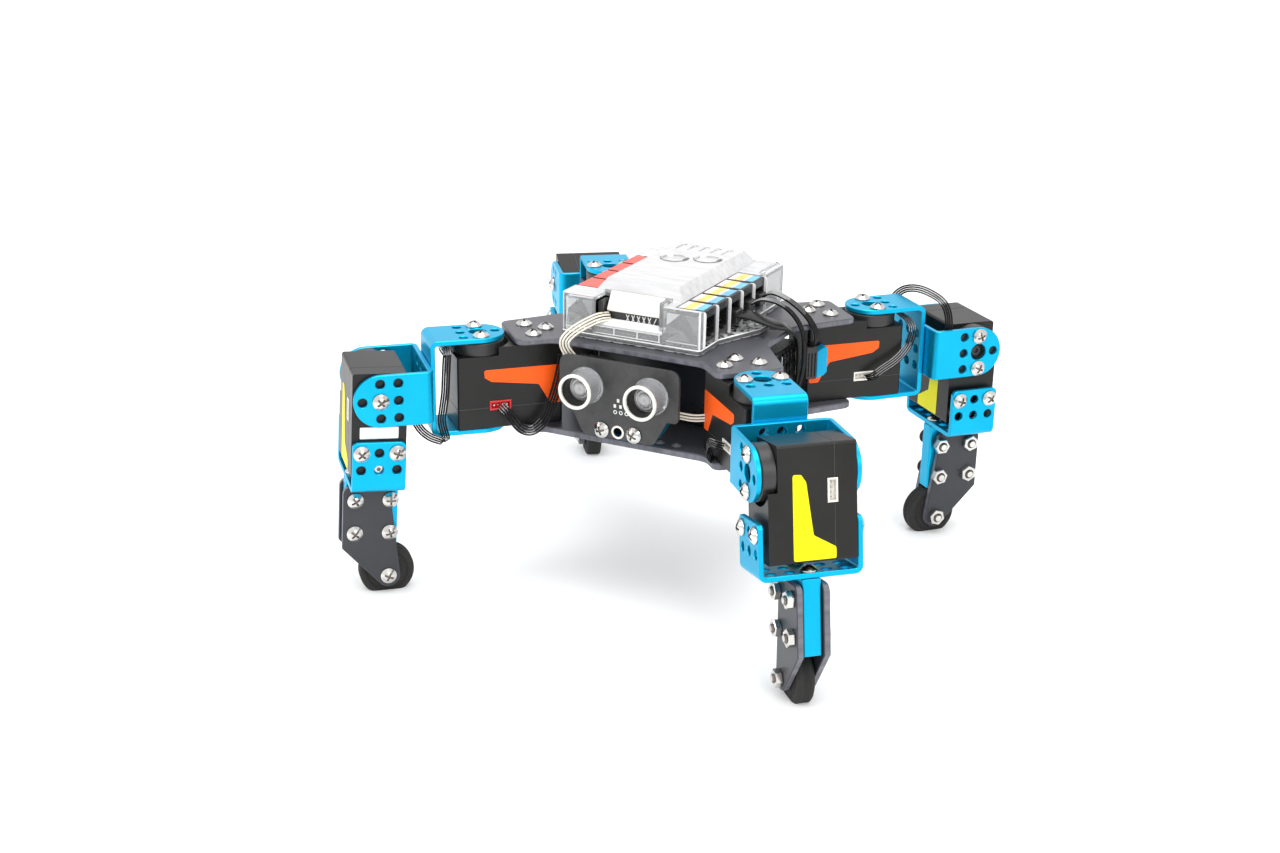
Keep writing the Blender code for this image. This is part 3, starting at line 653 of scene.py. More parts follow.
def servo_bracket():
    """U bracket for either end of a leg: round-ended tabs over the servo, horn side at +Z."""
    axis = WEB_HALF + BEND_LENGTH + BRACKET_BACK - BEND
    outline = circle((axis, 0), BRACKET_HALF, 24, -pi / 2, pi) + circle((-axis, 0), BRACKET_HALF, 24, pi / 2, pi)
    holes = [circle((axis, 0), BIG_HOLE, 28), hole((-axis, 0))]
    for sign in (-1, 1):
        for along, across in [(1, 0), (0, -1), (0, 1), (-1, -1), (-1, 0), (-1, 1)]:
            holes.append(hole((sign * (axis + along * PITCH), across * PITCH)))
    holes += [hole((s, y)) for s in (-PITCH, 0, PITCH) for y in (-PITCH, 0, PITCH)]
    return folded(flat_sheet(outline, holes), BRACKET_BACK)


def foot_bracket():
    """Shorter U bracket across the far end of the knee servo."""
    reach = WEB_HALF + BEND_LENGTH + FOOT_BRACKET_BACK - BEND
    end = reach - FOOT_BRACKET_TOP
    stations = [sign * (reach - row) for row in FOOT_BRACKET_ROWS for sign in (-1, 1)]
    stations += [step * PITCH for step in range(-2, 3)]
    holes = [hole((s, y)) for s in stations for y in (-PITCH, 0, PITCH)]
    outline = rectangle(-end, end, -BRACKET_HALF, BRACKET_HALF, 2.5)
    return folded(flat_sheet(outline, holes), FOOT_BRACKET_BACK)


def servo_case():
    """Servo with its output axis on Z, far end to -X: a cap and a body that meet at a fine seam."""
    outline = rounded([(-SERVO_FAR, -SERVO_HALF, 1.2), (SERVO_NEAR, -SERVO_HALF, 1.3),
                       (SERVO_NEAR, SERVO_HALF, 1.3), (-SERVO_FAR, SERVO_HALF, 1.2)], 4)
    inner = drawn_in(outline, 0.12)
    arc = circle((0, 0), RECESS_RADIUS, 28, pi / 2, pi)
    recess = plate("recess", [arc + [(30, -RECESS_RADIUS), (30, RECESS_RADIUS)]], SERVO_RECESS, 30, 0)
    pockets = []
    for sign in (-1, 1):
        low, high = sorted((sign * (SERVO_HALF - 2.6), sign * (SERVO_HALF + 2)))
        pockets.append(block(-12.4, -2.2, low, high, SEAM - 1.3, SEAM + 3.3, 0))
    cap = plate("cap", [outline], -SERVO_IDLER_SIDE, SEAM - 0.12, 0)
    body = plate("body", [outline], SEAM + 0.12, SERVO_HORN_SIDE, 0)
    notch = block(-40, -33.0, -3.5, 3.5, 15.6, 30, 0)
    cap = shape(cap, pockets, bevel=0.35)
    body = shape(body, [recess, notch] + pockets, bevel=0.35)
    core = shape(plate("core", [inner], SEAM - 1, SEAM + 1, 0), pockets)
    for face in core.polygons:
        face.material_index = 1
    return merged([cap, body, core], "servo_case")


def case_screws():
    """Small screws that hold the servo's two halves together, one at the far end of each face."""
    head = turned([(0, -0.4), (2.3, -0.4), (2.3, 0.35), (1.9, 0.75), (0.9, 0.85), (0.7, 0.2), (0, 0.2)], 20)
    # The middle of the head takes the second material: painted shade in its recess.
    for face in head.polygons:
        face.material_index = int(face.center.to_2d().length < 0.8 * MM)
    low = at(-32, 0, -SERVO_IDLER_SIDE) @ Matrix.Rotation(pi, 4, "X")
    return combined([(head, at(-31.6, 0, SERVO_HORN_SIDE)), (head, low)], "case_screws")


def servo_sockets(sign):
    """Shell of a four-pin socket in the pocket of one side, and its pins."""
    x0, x1, z0, z1 = -12.3, -2.3, SEAM - 1.2, SEAM + 3.2
    wall = 0.7
    outer = rectangle(x0, x1, z0, z1)
    mouth = rectangle(x0 + wall, x1 - wall, z0 + wall, z1 - wall)
    shell = plate("shell", [outer, mouth], 0, 2.9, 0.1)
    floor = plate("floor", [outer], 0, 0.6, 0)
    pins = [block(x - 0.3, x + 0.3, SEAM + 0.7, SEAM + 1.3, 0.5, 2.5, 0.05) for x in (-10.3, -8.3, -6.3, -4.3)]
    seat = (at(0, sign * (SERVO_HALF - 2.55), 0) @ Matrix.Rotation(-sign * pi / 2, 4, "X")
            @ Matrix.Diagonal((1, -sign, 1, 1)))
    shell = combined([(shell, seat), (floor, seat)], "socket_shell")
    return shell, combined([(pin, seat) for pin in pins], "socket_pins")


def servo_stickers():
    """The flash on both sides of a servo."""
    corners = [(0.2, 7.6, 1.0), (-0.1, 4.0, 0.6), (-3.2, 1.9, 2.0), (-25.2, -1.0, 1.5),
               (-30.7, -10.6, 1.2), (-35.4, -10.6, 0.8), (-35.4, 7.6, 1.0)]
    flash = plate("flash", [rounded(corners, 4)], 0, 0.16, 0.04)
    left = at(0, SERVO_HALF + 0.005, 0) @ Matrix.Rotation(-pi / 2, 4, "X") @ Matrix.Diagonal((1, -1, 1, 1))
    right = at(0, -SERVO_HALF - 0.005, 0) @ Matrix.Rotation(pi / 2, 4, "X")
    return combined([(flash, left), (flash, right)], "flashes")


def horn_disc():
    """Round output horn with a hub, a ring groove and the screw in its middle."""
    top = HORN_TOP
    profile = [(0, HORN_LOW), (HORN_RADIUS, HORN_LOW), (HORN_RADIUS, top - 0.5), (HORN_RADIUS - 0.5, top),
               (4.0, top), (3.8, top - 0.3), (3.8, top - 1.2), (0, top - 1.2)]
    hub = turned(profile, 48)
    bolt = turned([(0, top - 1.4), (2.7, top - 1.4), (2.7, top - 0.3), (2.4, top - 0.1), (1.2, top - 0.1),
                   (1.1, top - 0.9), (0, top - 0.9)], 24)
    return merged([hub, bolt], "horn_disc")


def shin_outline():
    """Shin plate's edge: round the foot's screw, then the slanted side, the shoulder and the square top."""
    foot_x, foot_z = FOOT_SCREW
    radius = SHIN_HALF + foot_x
    slope = atan2(SHIN_SHOULDER - foot_z, SHIN_HALF - foot_x)
    reach = ((SHIN_SHOULDER - foot_z) ** 2 + (SHIN_HALF - foot_x) ** 2) ** 0.5
    touch = slope - atan2((reach ** 2 - radius ** 2) ** 0.5, radius)
    end = circle((foot_x, foot_z), radius, 24, -pi, pi + touch)
    corner = rounded([(SHIN_HALF, SHIN_SHOULDER, 0), (SHIN_HALF, SHIN_TOP, 3.5), (-SHIN_HALF, SHIN_TOP, 3.5)])
    return end + corner


def shin_panel():
    """Shin plate drawn in (x, z), to be stood upright; its screw holes are open."""
    return plate("shin", [shin_outline()] + [hole(spot) for spot in SHIN_SPOTS], 0, SHIN_THICK, 0.35, 1)


def beam_bar():
    """Short beam between the shin plates."""
    outline = rectangle(-BRACKET_HALF, BRACKET_HALF, -BEAM_THICK / 2, BEAM_THICK / 2, 0.8)
    return plate("beam", [outline], BEAM_BOTTOM, BEAM_TOP, 0.25)


def foot_tread(leg):
    """Rubber foot, turned with round shoulders and pressed flat where it stands on the floor."""
    shoulder, groove = 1.7, 0.4
    inner = FOOT_RADIUS - shoulder
    flank = [(0, -FOOT_HALF), (inner - 2.6, -FOOT_HALF), (inner - 2.2, -FOOT_HALF + groove),
             (inner - 1.6, -FOOT_HALF + groove), (inner - 1.2, -FOOT_HALF)]
    lower = flank + arc_profile((inner, -FOOT_HALF + shoulder), shoulder, -90, 0, 6)
    ribs = [(FOOT_RADIUS - 0.25 * (i % 2), -1.5 + 0.5 * i) for i in range(7)]
    mesh = turned(lower + ribs + [(r, -z) for r, z in reversed(lower)], 64)
    centre = at(FOOT_SCREW[0], 0, FOOT_SCREW[1] + FOOT_LIFT)
    mesh = combined([(mesh, centre @ UPRIGHT)], "tread")
    level = Matrix.Translation(KNEE[leg].translation)
    mesh.transform(level.inverted() @ KNEE[leg])
    for vert in mesh.vertices:
        vert.co.z = max(vert.co.z, -level.translation.z)
    return mesh, level


KNEE_FROM_HIP = axes(Vector((-1, 0, 0)), Vector((0, 0, -1)), Vector((0, -1, 0)), (LEG_STEP * MM, 0, 0))
SERVO_TURN = axes(Z, -X, -Y, (0, 0, 0))
FOOT_TURN = axes(-Z, -X, Y, (0, 0, 0))
UPRIGHT = Matrix.Rotation(pi / 2, 4, "X")

BRACKET_MESH = servo_bracket()
FOOT_BRACKET_MESH = foot_bracket()
SERVO_MESH = servo_case()
HORN_MESH = horn_disc()
CASE_SCREWS = case_screws()
SOCKET_MESHES = {sign: servo_sockets(sign) for sign in (-1, 1)}
BEAM_MESH = beam_bar()


def servo(name, matrix, body, sticker, slot):
    piece(f"{name}_case", SERVO_MESH, matrix, body, "servo_case", SERVO, [name], SEAM_GREY)
    piece(f"{name}_case_screws", CASE_SCREWS, matrix, body, "steel_fastener", STEEL, second=RECESS_PAINTED_SHADE)
    piece(f"{name}_flashes", servo_stickers(), matrix, body, slot, sticker, weighted=False)
    for sign, colour, material, part in ((-1, "white", WHITE, "white_label"), (1, "red", RED, "red_plastic")):
        shell, pins = SOCKET_MESHES[sign]
        piece(f"{name}_{colour}_socket", shell, matrix, body, part, material)
        piece(f"{name}_{colour}_pins", pins, matrix, body, "steel_fastener", STEEL)


def leg_pieces(leg):
    upper, lower = f"{leg}_upper_leg", f"{leg}_lower_leg"
    hip, knee = HIP[leg], KNEE[leg]
    knee_seat = hip @ KNEE_FROM_HIP
    knee_servo = knee @ SERVO_TURN
    under = knee_servo @ Matrix.Translation((0, 0, -(SERVO_IDLER_SIDE + 0.15) * MM))

    def fit(name, node, mesh, matrix, body, slot, material, **more):
        piece(f"{leg}_{name}", mesh, matrix, body, slot, material, [f"{leg}_{node}"] if node else (), **more)

    servo(f"{leg}_hip_servo", MOUNT[leg], "chassis", ORANGE, "orange_label")
    servo(f"{leg}_knee_servo", knee_servo, lower, YELLOW, "yellow_label")
    label = block(-17.9, -12.5, -8.6, 8.6, 0, 0.14, 0.03, 0.4)
    fit("knee_servo_label", None, label, under, lower, "white_label", PAPER, weighted=False)
    ends = (("hip", hip), ("knee", knee_seat))
    for end, seat in ends:
        fit(f"{end}_horn_disc", f"{end}_horn", HORN_MESH, seat, upper, "servo_horn", HORN)
    for end, seat in ends:
        fit(f"{end}_bracket_sheet", f"{end}_bracket", BRACKET_MESH, seat, upper, "blue_aluminium", BLUE)
    tab = BRACKET_OUTSIDE / 2
    tab_screws = [((0, -PITCH, tab), Z, 20), ((0, PITCH, tab), Z, 65), ((0, 0, -tab), -Z, 40)]
    for end, seat in ends:
        copies(f"{leg}_{end}_screws", SCREW, tab_screws, seat, upper)
    fit("foot_bracket_sheet", "foot_bracket", FOOT_BRACKET_MESH, knee @ FOOT_TURN, lower, "blue_aluminium", BLUE)
    foot_screws = [((x, sign * tab, -FOOT_BRACKET_ROWS[0]), sign * Y, 15 + 4 * x)
                   for x in (-PITCH, PITCH) for sign in (-1, 1)]
    foot_screws += [((x, 0, -FOOT_BRACKET_BACK + SHEET), Z, 10) for x in (-PITCH, PITCH)]
    copies(f"{leg}_foot_bracket_screws", SCREW, foot_screws, knee, lower)
    fit("leg_beam_bar", "leg_beam", BEAM_MESH, knee, lower, "blue_aluminium", BLUE)
    for side, y in (("left", SHIN_FACE), ("right", -SHIN_INNER)):
        stand = knee @ (Matrix.Translation((0, y * MM, 0)) @ UPRIGHT)
        # The shins take the darker copy of the plate finish: painted shade.
        fit(f"shin_plate_{side}_panel", f"shin_plate_{side}", shin_panel(), stand, lower, "grey_plate", SHIN_PAINTED_SHADE,
            second=PLATE_EDGE)
    for name, mesh, side, turn in (("shin_screws", SCREW, 1, 17), ("shin_nuts", NUT, -1, 11)):
        spots = [((x, side * SHIN_FACE, z), side * Y, turn * i) for i, (x, z) in enumerate(SHIN_SPOTS)]
        copies(f"{leg}_{name}", mesh, spots, knee, lower)
    tread, level = foot_tread(leg)
    fit("foot_tread", "foot", tread, level, lower, "foot_rubber", RUBBER)


# ---------------------------------------------------------------- chassis

# How far each arm reaches short of its hip's axis, and its half widths outside and inside.
ARM_END, ARM_OUTER_HALF, ARM_INNER_HALF = 14.7, 16.5, 15.0
WAIST_CORNER = (51.0, 15.0, 8.0)
TOP_NOTCH, LOW_NOTCH = 53.5, 57.0
ARM_ROWS = (24, 32)  # screws, from the hip's axis
SLANT = 0.5 ** 0.5
QUADRANTS = ((-1, -1), (-1, 1), (1, -1), (1, 1))


def plate_outline(front):
    """Body plate: four arms at 45 degrees with round corners, and a waist between them."""
    end_x, end_y = HIP_X - ARM_END * SLANT, HIP_Y - ARM_END * SLANT
    outer = (end_x + ARM_OUTER_HALF * SLANT, end_y - ARM_OUTER_HALF * SLANT, 4.0)
    inner = (end_x - ARM_INNER_HALF * SLANT, end_y + ARM_INNER_HALF * SLANT, 4.0)
    notch_x = inner[0] - (inner[1] - front)
    quarter = [WAIST_CORNER, outer, inner, (notch_x, front, 8.0)]
    corners = []
    for side, end in ((1, 1), (-1, 1), (-1, -1), (1, -1)):
        run = [(side * x, end * y, r) for x, y, r in quarter]
        corners += run if side * end > 0 else run[::-1]
    return rounded(corners, 8)


def arm_spots():
    """Screw places on each plate: two near the hip and one further in, on every arm."""
    spots = []
    for side, end in QUADRANTS:
        hip = Vector((side * HIP_X, end * HIP_Y))
        inward = Vector((-side * SLANT, -end * SLANT))
        across = Vector((-end * SLANT, side * SLANT))
        near, further = hip + inward * ARM_ROWS[0], hip + inward * ARM_ROWS[1]
        spots += [near + across * PITCH, near - across * PITCH, further]
    return spots


def body_plates():
    spots = arm_spots()
    holes = [hole(spot) for spot in spots] + [hole((x, y)) for x in (-44, 44) for y in (-8, 8)]
    window = rectangle(-16, 14, -34, 8, 3)
    front_row = [hole((x, -51)) for x in (-16, -8, 8, 16, 24)]
    for name, inside, levels in (("top", [plate_outline(TOP_NOTCH), window] + holes, TOP_PLATE),
                                 ("bottom", [plate_outline(LOW_NOTCH)] + holes + front_row, LOW_PLATE)):
        fixed(f"{name}_plate_panel", plate(name, inside, *levels, 0.5, 1), "grey_plate", PLATE,
              [f"{name}_plate"], second=PLATE_EDGE)
    heads = [((x, y, TOP_PLATE[1]), Z, 31 * i) for i, (x, y) in enumerate(spots)]
    heads += [((x, y, LOW_PLATE[0]), -Z, 47 * i) for i, (x, y) in enumerate(spots)]
    copies("body_plate_screws", SCREW, heads, BODY, "chassis")
    fixed("battery_pack_cells", battery_wrap(), "battery_wrap", BATTERY, ["battery_pack"])


def battery_wrap():
    """Battery pack's smooth wrap, between the plates."""
    outline = rectangle(-30, 30, LOW_PLATE[1] + 0.3, 14.0, 3)
    return combined([(plate("wrap", [outline], -24, 40, 0.8), axes(-X, Z, Y, (0, 0, 0)))], "wrap")


WINDOWS = ((-8.4, 11.4), (6.2, 16.8))  # round openings in the raised middle
RECESS_X, RECESS_Y = (-19.6, 14.4), -37.0
MOTOR_PITCH, MOTOR_COUNT, MOTOR_START = 15, 4, -34
ON_BOARD = BASE_TOP + 0.3 + 1.9 + 0.3
LABEL_HEIGHT = CASE_TOP - 0.28


def box_corners(levels):
    """Corners of rectangles (x0, x1, y0, y1) at heights, for a hull."""
    return [(x, y, z) for z, (xa, xb, ya, yb) in levels for x in (xa, xb) for y in (ya, yb)]


def controller_case():
    """Clear base with side ears, and a clear cover with a raised middle and open socket bays."""
    (x0, x1), (y0, y1) = CASE_X, CASE_Y
    ear = 10.0
    base = rounded([(x0, y0, 2), (x1, y0, 2), (x1, y0 + 20, 3), (x1 + ear, -3, 2), (x1 + ear, 5, 2), (x1, 14, 3),
                    (x1, y1, 2), (x0, y1, 2), (x0, 14, 3), (x0 - ear, 5, 2), (x0 - ear, -3, 2), (x0, y0 + 20, 3)])
    tray = plate("base", [base], CASE_BOTTOM + 0.25, BASE_TOP, 0.4)
    # Top faces take the painted glint facets and the bevels the white painted highlight; the rest is clear.
    dress(tray, (CLEAR, GLINT, PAINTED_GLINT_FACETS), lambda c, n, size: 2 if n.z > 0.95 else int(0.1 < abs(n.z) < 0.95))
    fixed("case_base_tray", tray, "clear_case", CLEAR, ["case_base"])
    lattice = plate("lattice", [drawn_in(base, 0.3)], CASE_BOTTOM, CASE_BOTTOM + 0.2, 0.05)
    # The lattice sheet under the tray takes the painted glint facets.
    fixed("case_base_lattice", lattice, "clear_case", PAINTED_GLINT_FACETS, weighted=False)
    low, wall, over = BASE_TOP + 0.3, CASE_WALL, 60
    eaves, rafters = (-24, 19, -38, y1 - 3), (-22.2, 17.2, -36, y1 - 4.8)
    roof = box_corners(((CASE_TOP - 3, eaves), (CASE_TOP, eaves), (CASE_RIDGE, (-20, 15, -33, y1 - 7))))
    room = box_corners(((CASE_TOP - 8, rafters), (CASE_TOP - 0.6, rafters),
                        (CASE_RIDGE - wall, (-18.6, 13.6, -32, y1 - 8.4))))
    socket_end = SOCKET_START + SOCKET_PITCH * SOCKET_COUNT
    cuts = [
        plate("room", [rectangle(x0 + wall, x1 - wall, y0 + wall, y1 - wall, 1)], low - 5, CASE_TOP - wall, 0),
        hull(room),
        block(19.2, x1 + 5, SOCKET_START - 0.3, socket_end + 0.3, low - 5, over, 0),
        block(x0 - 5, -24.2, -34.3, 26.3, low - 5, over, 0),
        block(*RECESS_X, y0 - 5, RECESS_Y, 29, over, 0),
    ]
    cuts += [plate("opening", [circle(spot, 6.3, 36)], CASE_RIDGE - 0.9, over, 0) for spot in WINDOWS]
    cuts += [plate("vent", [rectangle(-16 + 6 * i, -13.2 + 6 * i, 27, 37, 1.2)], CASE_RIDGE - 0.5, over, 0)
             for i in range(5)]
    outer = plate("outer", [rectangle(x0, x1, y0, y1, 2.5)], low, CASE_TOP, 0.0)
    cover = shape(outer, cuts, [hull(roof)], bevel=0.45, segments=2)

    def finish(middle, normal, size):
        """Bevels are white as a painted highlight; faces that look up and the raised middle are frosted, the
        upward faces paler as painted sheen; the rest is clear.
        """
        upright = abs(normal.z) < 0.1 and abs(abs(normal.x) - abs(normal.y)) > 0.3
        if size < 60 and max(abs(c) for c in normal) < 0.98 and not upright:
            return 2
        return int(normal.z > 0.4 or middle.z > CASE_TOP + 0.2 or middle.y > 38)

    dress(cover, (CLEAR, FROST_AND_SHEEN, GLINT), finish)
    fixed("case_cover_shell", cover, "clear_case", CLEAR, ["case_cover"])
    case_details()


def case_details():
    """Upright ribs between the sockets, dark arcs of painted shade at the windows' edges, and the moulded shapes
    of the corners; bright pieces carry a painted highlight and dark pieces painted shade.
    """
    (x0, x1), y0 = CASE_X, CASE_Y[0]
    bright, clear, shadows = [], [], []
    foot, head = BASE_TOP + 0.4, CASE_TOP - 0.4
    rib = plate("rib", [rounded([(32.7, foot, 0), (34.0, foot, 0.3), (34.2, CASE_TOP - 0.2, 1.2),
                                 (30.6, CASE_TOP - 0.5, 0.2), (32.7, CASE_TOP - 1.6, 0.6)])], -0.24, 0.24, 0.08)
    for i in range(SOCKET_COUNT + 1):
        bright.append((rib, at(0, SOCKET_START + SOCKET_PITCH * i, 0) @ UPRIGHT))
    left_rib = block(-36.4, -35.3, foot, head, -0.42, 0.42, 0.12, 0.5)
    for i in range(MOTOR_COUNT + 1):
        bright.append((left_rib, at(0, MOTOR_START + MOTOR_PITCH * i, 0) @ UPRIGHT))
    for x, y in WINDOWS:
        # A dark arc and a dark mark at each window: painted shade under the opening's edge.
        arc = arc_profile((0, 0), 7.0, 190, 380, 30) + arc_profile((0, 0), 6.6, 380, 190, 30)
        shadows.append((plate("arc", [arc], 0, 0.25, 0), at(x, y, CASE_RIDGE + 0.02)))
        shadows.append((block(4.9, 5.9, -1.5, 2.6, -0.85, 0.3, 0.1), at(x, y, CASE_RIDGE)))

    front, back, ceiling = y0 + 2.0, y0 + 8.5, 38.9

    def wedge(group, y, corners, apex):
        """A facet with some (x, z) corners towards the front and one at the back."""
        group.append((hull([(x, y, z) for x, z in corners] + [(apex[0], back, apex[1])]), at()))

    # moulded pockets in the two front corners: slanted facets in front of the motor terminals, the bright ones a
    # painted highlight and the dark ones painted shade
    for xa, xb in ((x0 + 2.4, RECESS_X[0] - 1.6), (RECESS_X[1] + 1.6, x1 - 2.4)):
        mid = (xa + xb) / 2
        wedge(bright, front, [(xa, ceiling), (mid - 1, ceiling), (xa, 33.4)], (mid - 3.5, 35.6))
        wedge(clear, front, [(xb, ceiling), (xb, 30), (mid + 1.2, ceiling)], (mid + 0.5, 33))
        wedge(clear, front, [(xa, 26.4), (xb - 2, 26.4), (mid, 31.5)], (mid - 1, 28.5))
        wedge(shadows, front + 0.4, [(xa + 0.6, 32.6), (mid + 0.5, 30.8), (xa + 0.6, 29.2)], (mid - 2, 31.5))
        wedge(shadows, front + 0.4, [(mid + 2.0, 36.4), (xb - 0.6, 33.8), (xb - 0.6, 32.6)], (mid + 3, 34))
        bright.append((block(xa, xb, front - 0.35, front - 0.1, 25.7, 26.3, 0.05), at()))
    # post beside the front recess, and the sill under its connector, white as a painted highlight
    post = rectangle(11.6, 14.0, -46.0, -37.6, 0.8)
    clear.append((plate("post", [post], 29.4, CASE_TOP + 1.2, 0.4), at()))
    sill = [(-19.2, -47.2, 29.2), (14.0, -47.2, 29.2), (14.0, -41.6, 30.6), (-19.2, -41.6, 30.6),
            (-19.2, -47.2, 28.4), (14.0, -47.2, 28.4), (14.0, -41.6, 28.4), (-19.2, -41.6, 28.4)]
    bright.append((hull(sill), at()))
    # lines and slots on the case's front: the lines white as a painted highlight, the slots dark as painted shade
    for z in (25.0, 28.2):
        bright.append((block(-18.8, 13.6, y0 - 0.22, y0 - 0.04, z, z + 0.3, 0.05), at()))
    for x in (-9.5, 2.0, 12.8):
        bright.append((block(x, x + 0.4, y0 - 0.24, y0 - 0.05, 25.0, 28.4, 0.05), at()))
    for xa, xb in ((-17.8, -11.5), (-8.0, 0.6)):
        shadows.append((block(xa, xb, y0 + 2.2, y0 + 2.6, 25.6, 26.5, 0.1), at()))
    # bar along the top of the rear right edge
    bar = turned([(0, 0), (1.3, 0), (1.5, 0.2), (1.5, 17.3), (1.3, 17.5), (0, 17.5)], 20)
    clear.append((bar, at(31.4, 22.8, CASE_TOP + 0.9) @ Matrix.Rotation(-pi / 2, 4, "X")))
    # studs over the ears, in four rows that get shorter outwards
    stud = turned([(0, -0.3), (0.95, -0.3), (0.95, 0.5), (0.5, 0.95), (0, 1.05)], 8)
    for side, edge in ((-1, -x0 + 1.6), (1, x1 + 1.6)):
        for i in range(4):
            for j in range(-5 + i, 7 - i):
                clear.append((stud, at(side * (edge + 2.2 * i), 0.6 + 2.3 * j + 1.15 * (i % 2), BASE_TOP)))
    # Bright pieces take the painted highlight, the shadow pieces the painted shade.
    groups = (("ribs", bright, GLINT), ("details", clear, CLEAR), ("shadows", shadows, PAINTED_SHADE))
    for name, group, material in groups:
        fixed(f"case_cover_{name}", combined(group, name), "clear_case", material)


def controller_inside():
    """Circuit board with its parts, sockets on both sides and the labels on them."""
    (x0, x1), (y0, y1) = CASE_X, CASE_Y
    low = BASE_TOP + 0.6
    top = low + 1.6
    board = plate("board", [rectangle(x0 + 3, x1 - 3, y0 + 3, y1 - 3, 2)]
                  + [circle((x, y), 1.6, 16) for x in (x0 + 7, x1 - 7) for y in (y0 + 7, y1 - 7)], low, top, 0.1)
    fixed("controller_board_card", board, "circuit_board", BOARD, ["controller_board"])
    chips = [block(xa, xb, ya, yb, top, high, edge) for xa, xb, ya, yb, high, edge in (
        (-13, 1, -8, 6, top + 1.6, 0.15), (4, 12, -22, -14, top + 1.4, 0.15), (-18, -12, 20, 34, top + 2.2, 0.2),
        (0, 10, 26, 38, top + 4.5, 0.3), (-20, -6, -24, -14, top + 1.2, 0.15),
        (-15.2, 10.0, -41.0, -37.6, 33.9, 0.2), (-20, -9, 38, 42.5, top + 7, 0.3),
        (-19.0, -16.6, -44.6, -37.6, 39.0, 0.5),
        (-33.5, -22.5, -44.5, -38.5, 36.5, 0.5), (17.5, 30.5, -44.5, -38.5, 36.5, 0.5))]
    fixed("controller_chips", merged(chips, "chips"), "socket_plastic", GLOSS_BLACK)
    cans = [(turned([(0, 0), (3.0, 0), (3.0, 6.2), (2.6, 6.6), (0, 6.6)], 24), at(x, y, top))
            for x, y in ((14, -2), (14, 7), (-19, 6), (14, 24))]
    cans += [(block(-2.2, 2.2, -5, 5, 0, 3.2, 0.6, 1.5), at(-18, -4, top)),
             (block(-4, 4, -3, 3, 0, 3, 0.2), at(4, 41.5, top))]
    pin = turned([(0, 0), (0.3, 0), (0.3, 3.4), (0, 3.6)], 8)
    pins = [(pin, at(-6.6 + 1.35 * i, -41.25, 30.3) @ Matrix.Rotation(radians(24 * (-1) ** i), 4, "Y"))
            for i in range(11)]
    fixed("controller_metal_parts", combined(cans + pins, "cans"), "sensor_can", CAN)
    white = hull([(x, y, z) for x in (-16.0, 10.8) for y, z in
                  ((-42.2, 34.2), (-42.4, 35.2), (-38.0, 42.6), (-37.2, 42.2), (-38.6, 34.2))])
    fixed("controller_front_connector", shape(white, bevel=0.35, segments=2), "white_label", WHITE)
    sockets()
    motor_sockets()


def sockets():
    """Row of six-wire sockets with a mouth to the side, six contacts inside and striped labels on top."""
    housings, contacts, stripes = [], [], {"yellow": [], "blue": [], "white": []}
    runs = (("white", 19.9, 22.6, 5.5), ("yellow", 22.7, 26.4, 5.4), ("white", 26.5, 28.0, 5.2),
            ("blue", 28.1, 31.8, 4.9))
    outer = block(19.6, 33.0, -6.3, 6.3, ON_BOARD, CASE_TOP - 0.3, 0)
    mouth = block(22.0, 40, -4.9, 4.9, ON_BOARD + 2.4, CASE_TOP - 4.2, 0)
    key = block(30.2, 40, -1.8, 1.8, ON_BOARD + 1.4, ON_BOARD + 3, 0)
    housing = shape(outer, [mouth, key], bevel=0.3)
    contact = block(22, 30.5, -0.3, 0.3, -0.3, 0.3, 0.05)
    for i in range(SOCKET_COUNT):
        y = SOCKET_START + SOCKET_PITCH * (i + 0.5)
        housings.append((housing, at(0, y, 0)))
        contacts += [(contact, at(0, y - 3.2 + 1.28 * j, ON_BOARD + 4.6)) for j in range(6)]
        for colour, start, end, half in runs:
            stripes[colour].append((block(start, end, -half, half, 0, 0.2, 0.04), at(0, y, LABEL_HEIGHT)))
    fixed("signal_socket_row", combined(housings, "sockets"), "socket_plastic", GLOSS_BLACK, ["signal_sockets"])
    fixed("signal_socket_contacts", combined(contacts, "contacts"), "steel_fastener", GOLD)
    for colour, material, slot in (("yellow", AMBER, "yellow_label"), ("blue", SKY, "blue_plastic"),
                                   ("white", PALE, "white_label")):
        fixed(f"socket_labels_{colour}", combined(stripes[colour], colour), slot, material)


def motor_sockets():
    """Second row of sockets on the left, under red labels."""
    outer = block(-36.0, -24.7, -6.9, 6.9, ON_BOARD, CASE_TOP - 0.3, 0)
    mouth = block(-40, -27, -5.2, 5.2, ON_BOARD + 2.4, CASE_TOP - 4.2, 0)
    housing = shape(outer, [mouth], bevel=0.3)
    label = block(-35.6, -25.2, -6.5, 6.5, 0, 0.2, 0.04)
    spots = [MOTOR_START + MOTOR_PITCH * (i + 0.5) for i in range(MOTOR_COUNT)]
    housings = combined([(housing, at(0, y, 0)) for y in spots], "sockets")
    fixed("motor_socket_row", housings, "socket_plastic", GLOSS_BLACK, ["motor_sockets"])
    labels = combined([(label, at(0, y, LABEL_HEIGHT)) for y in spots], "labels")
    fixed("motor_socket_labels", labels, "red_plastic", RED_LABEL)


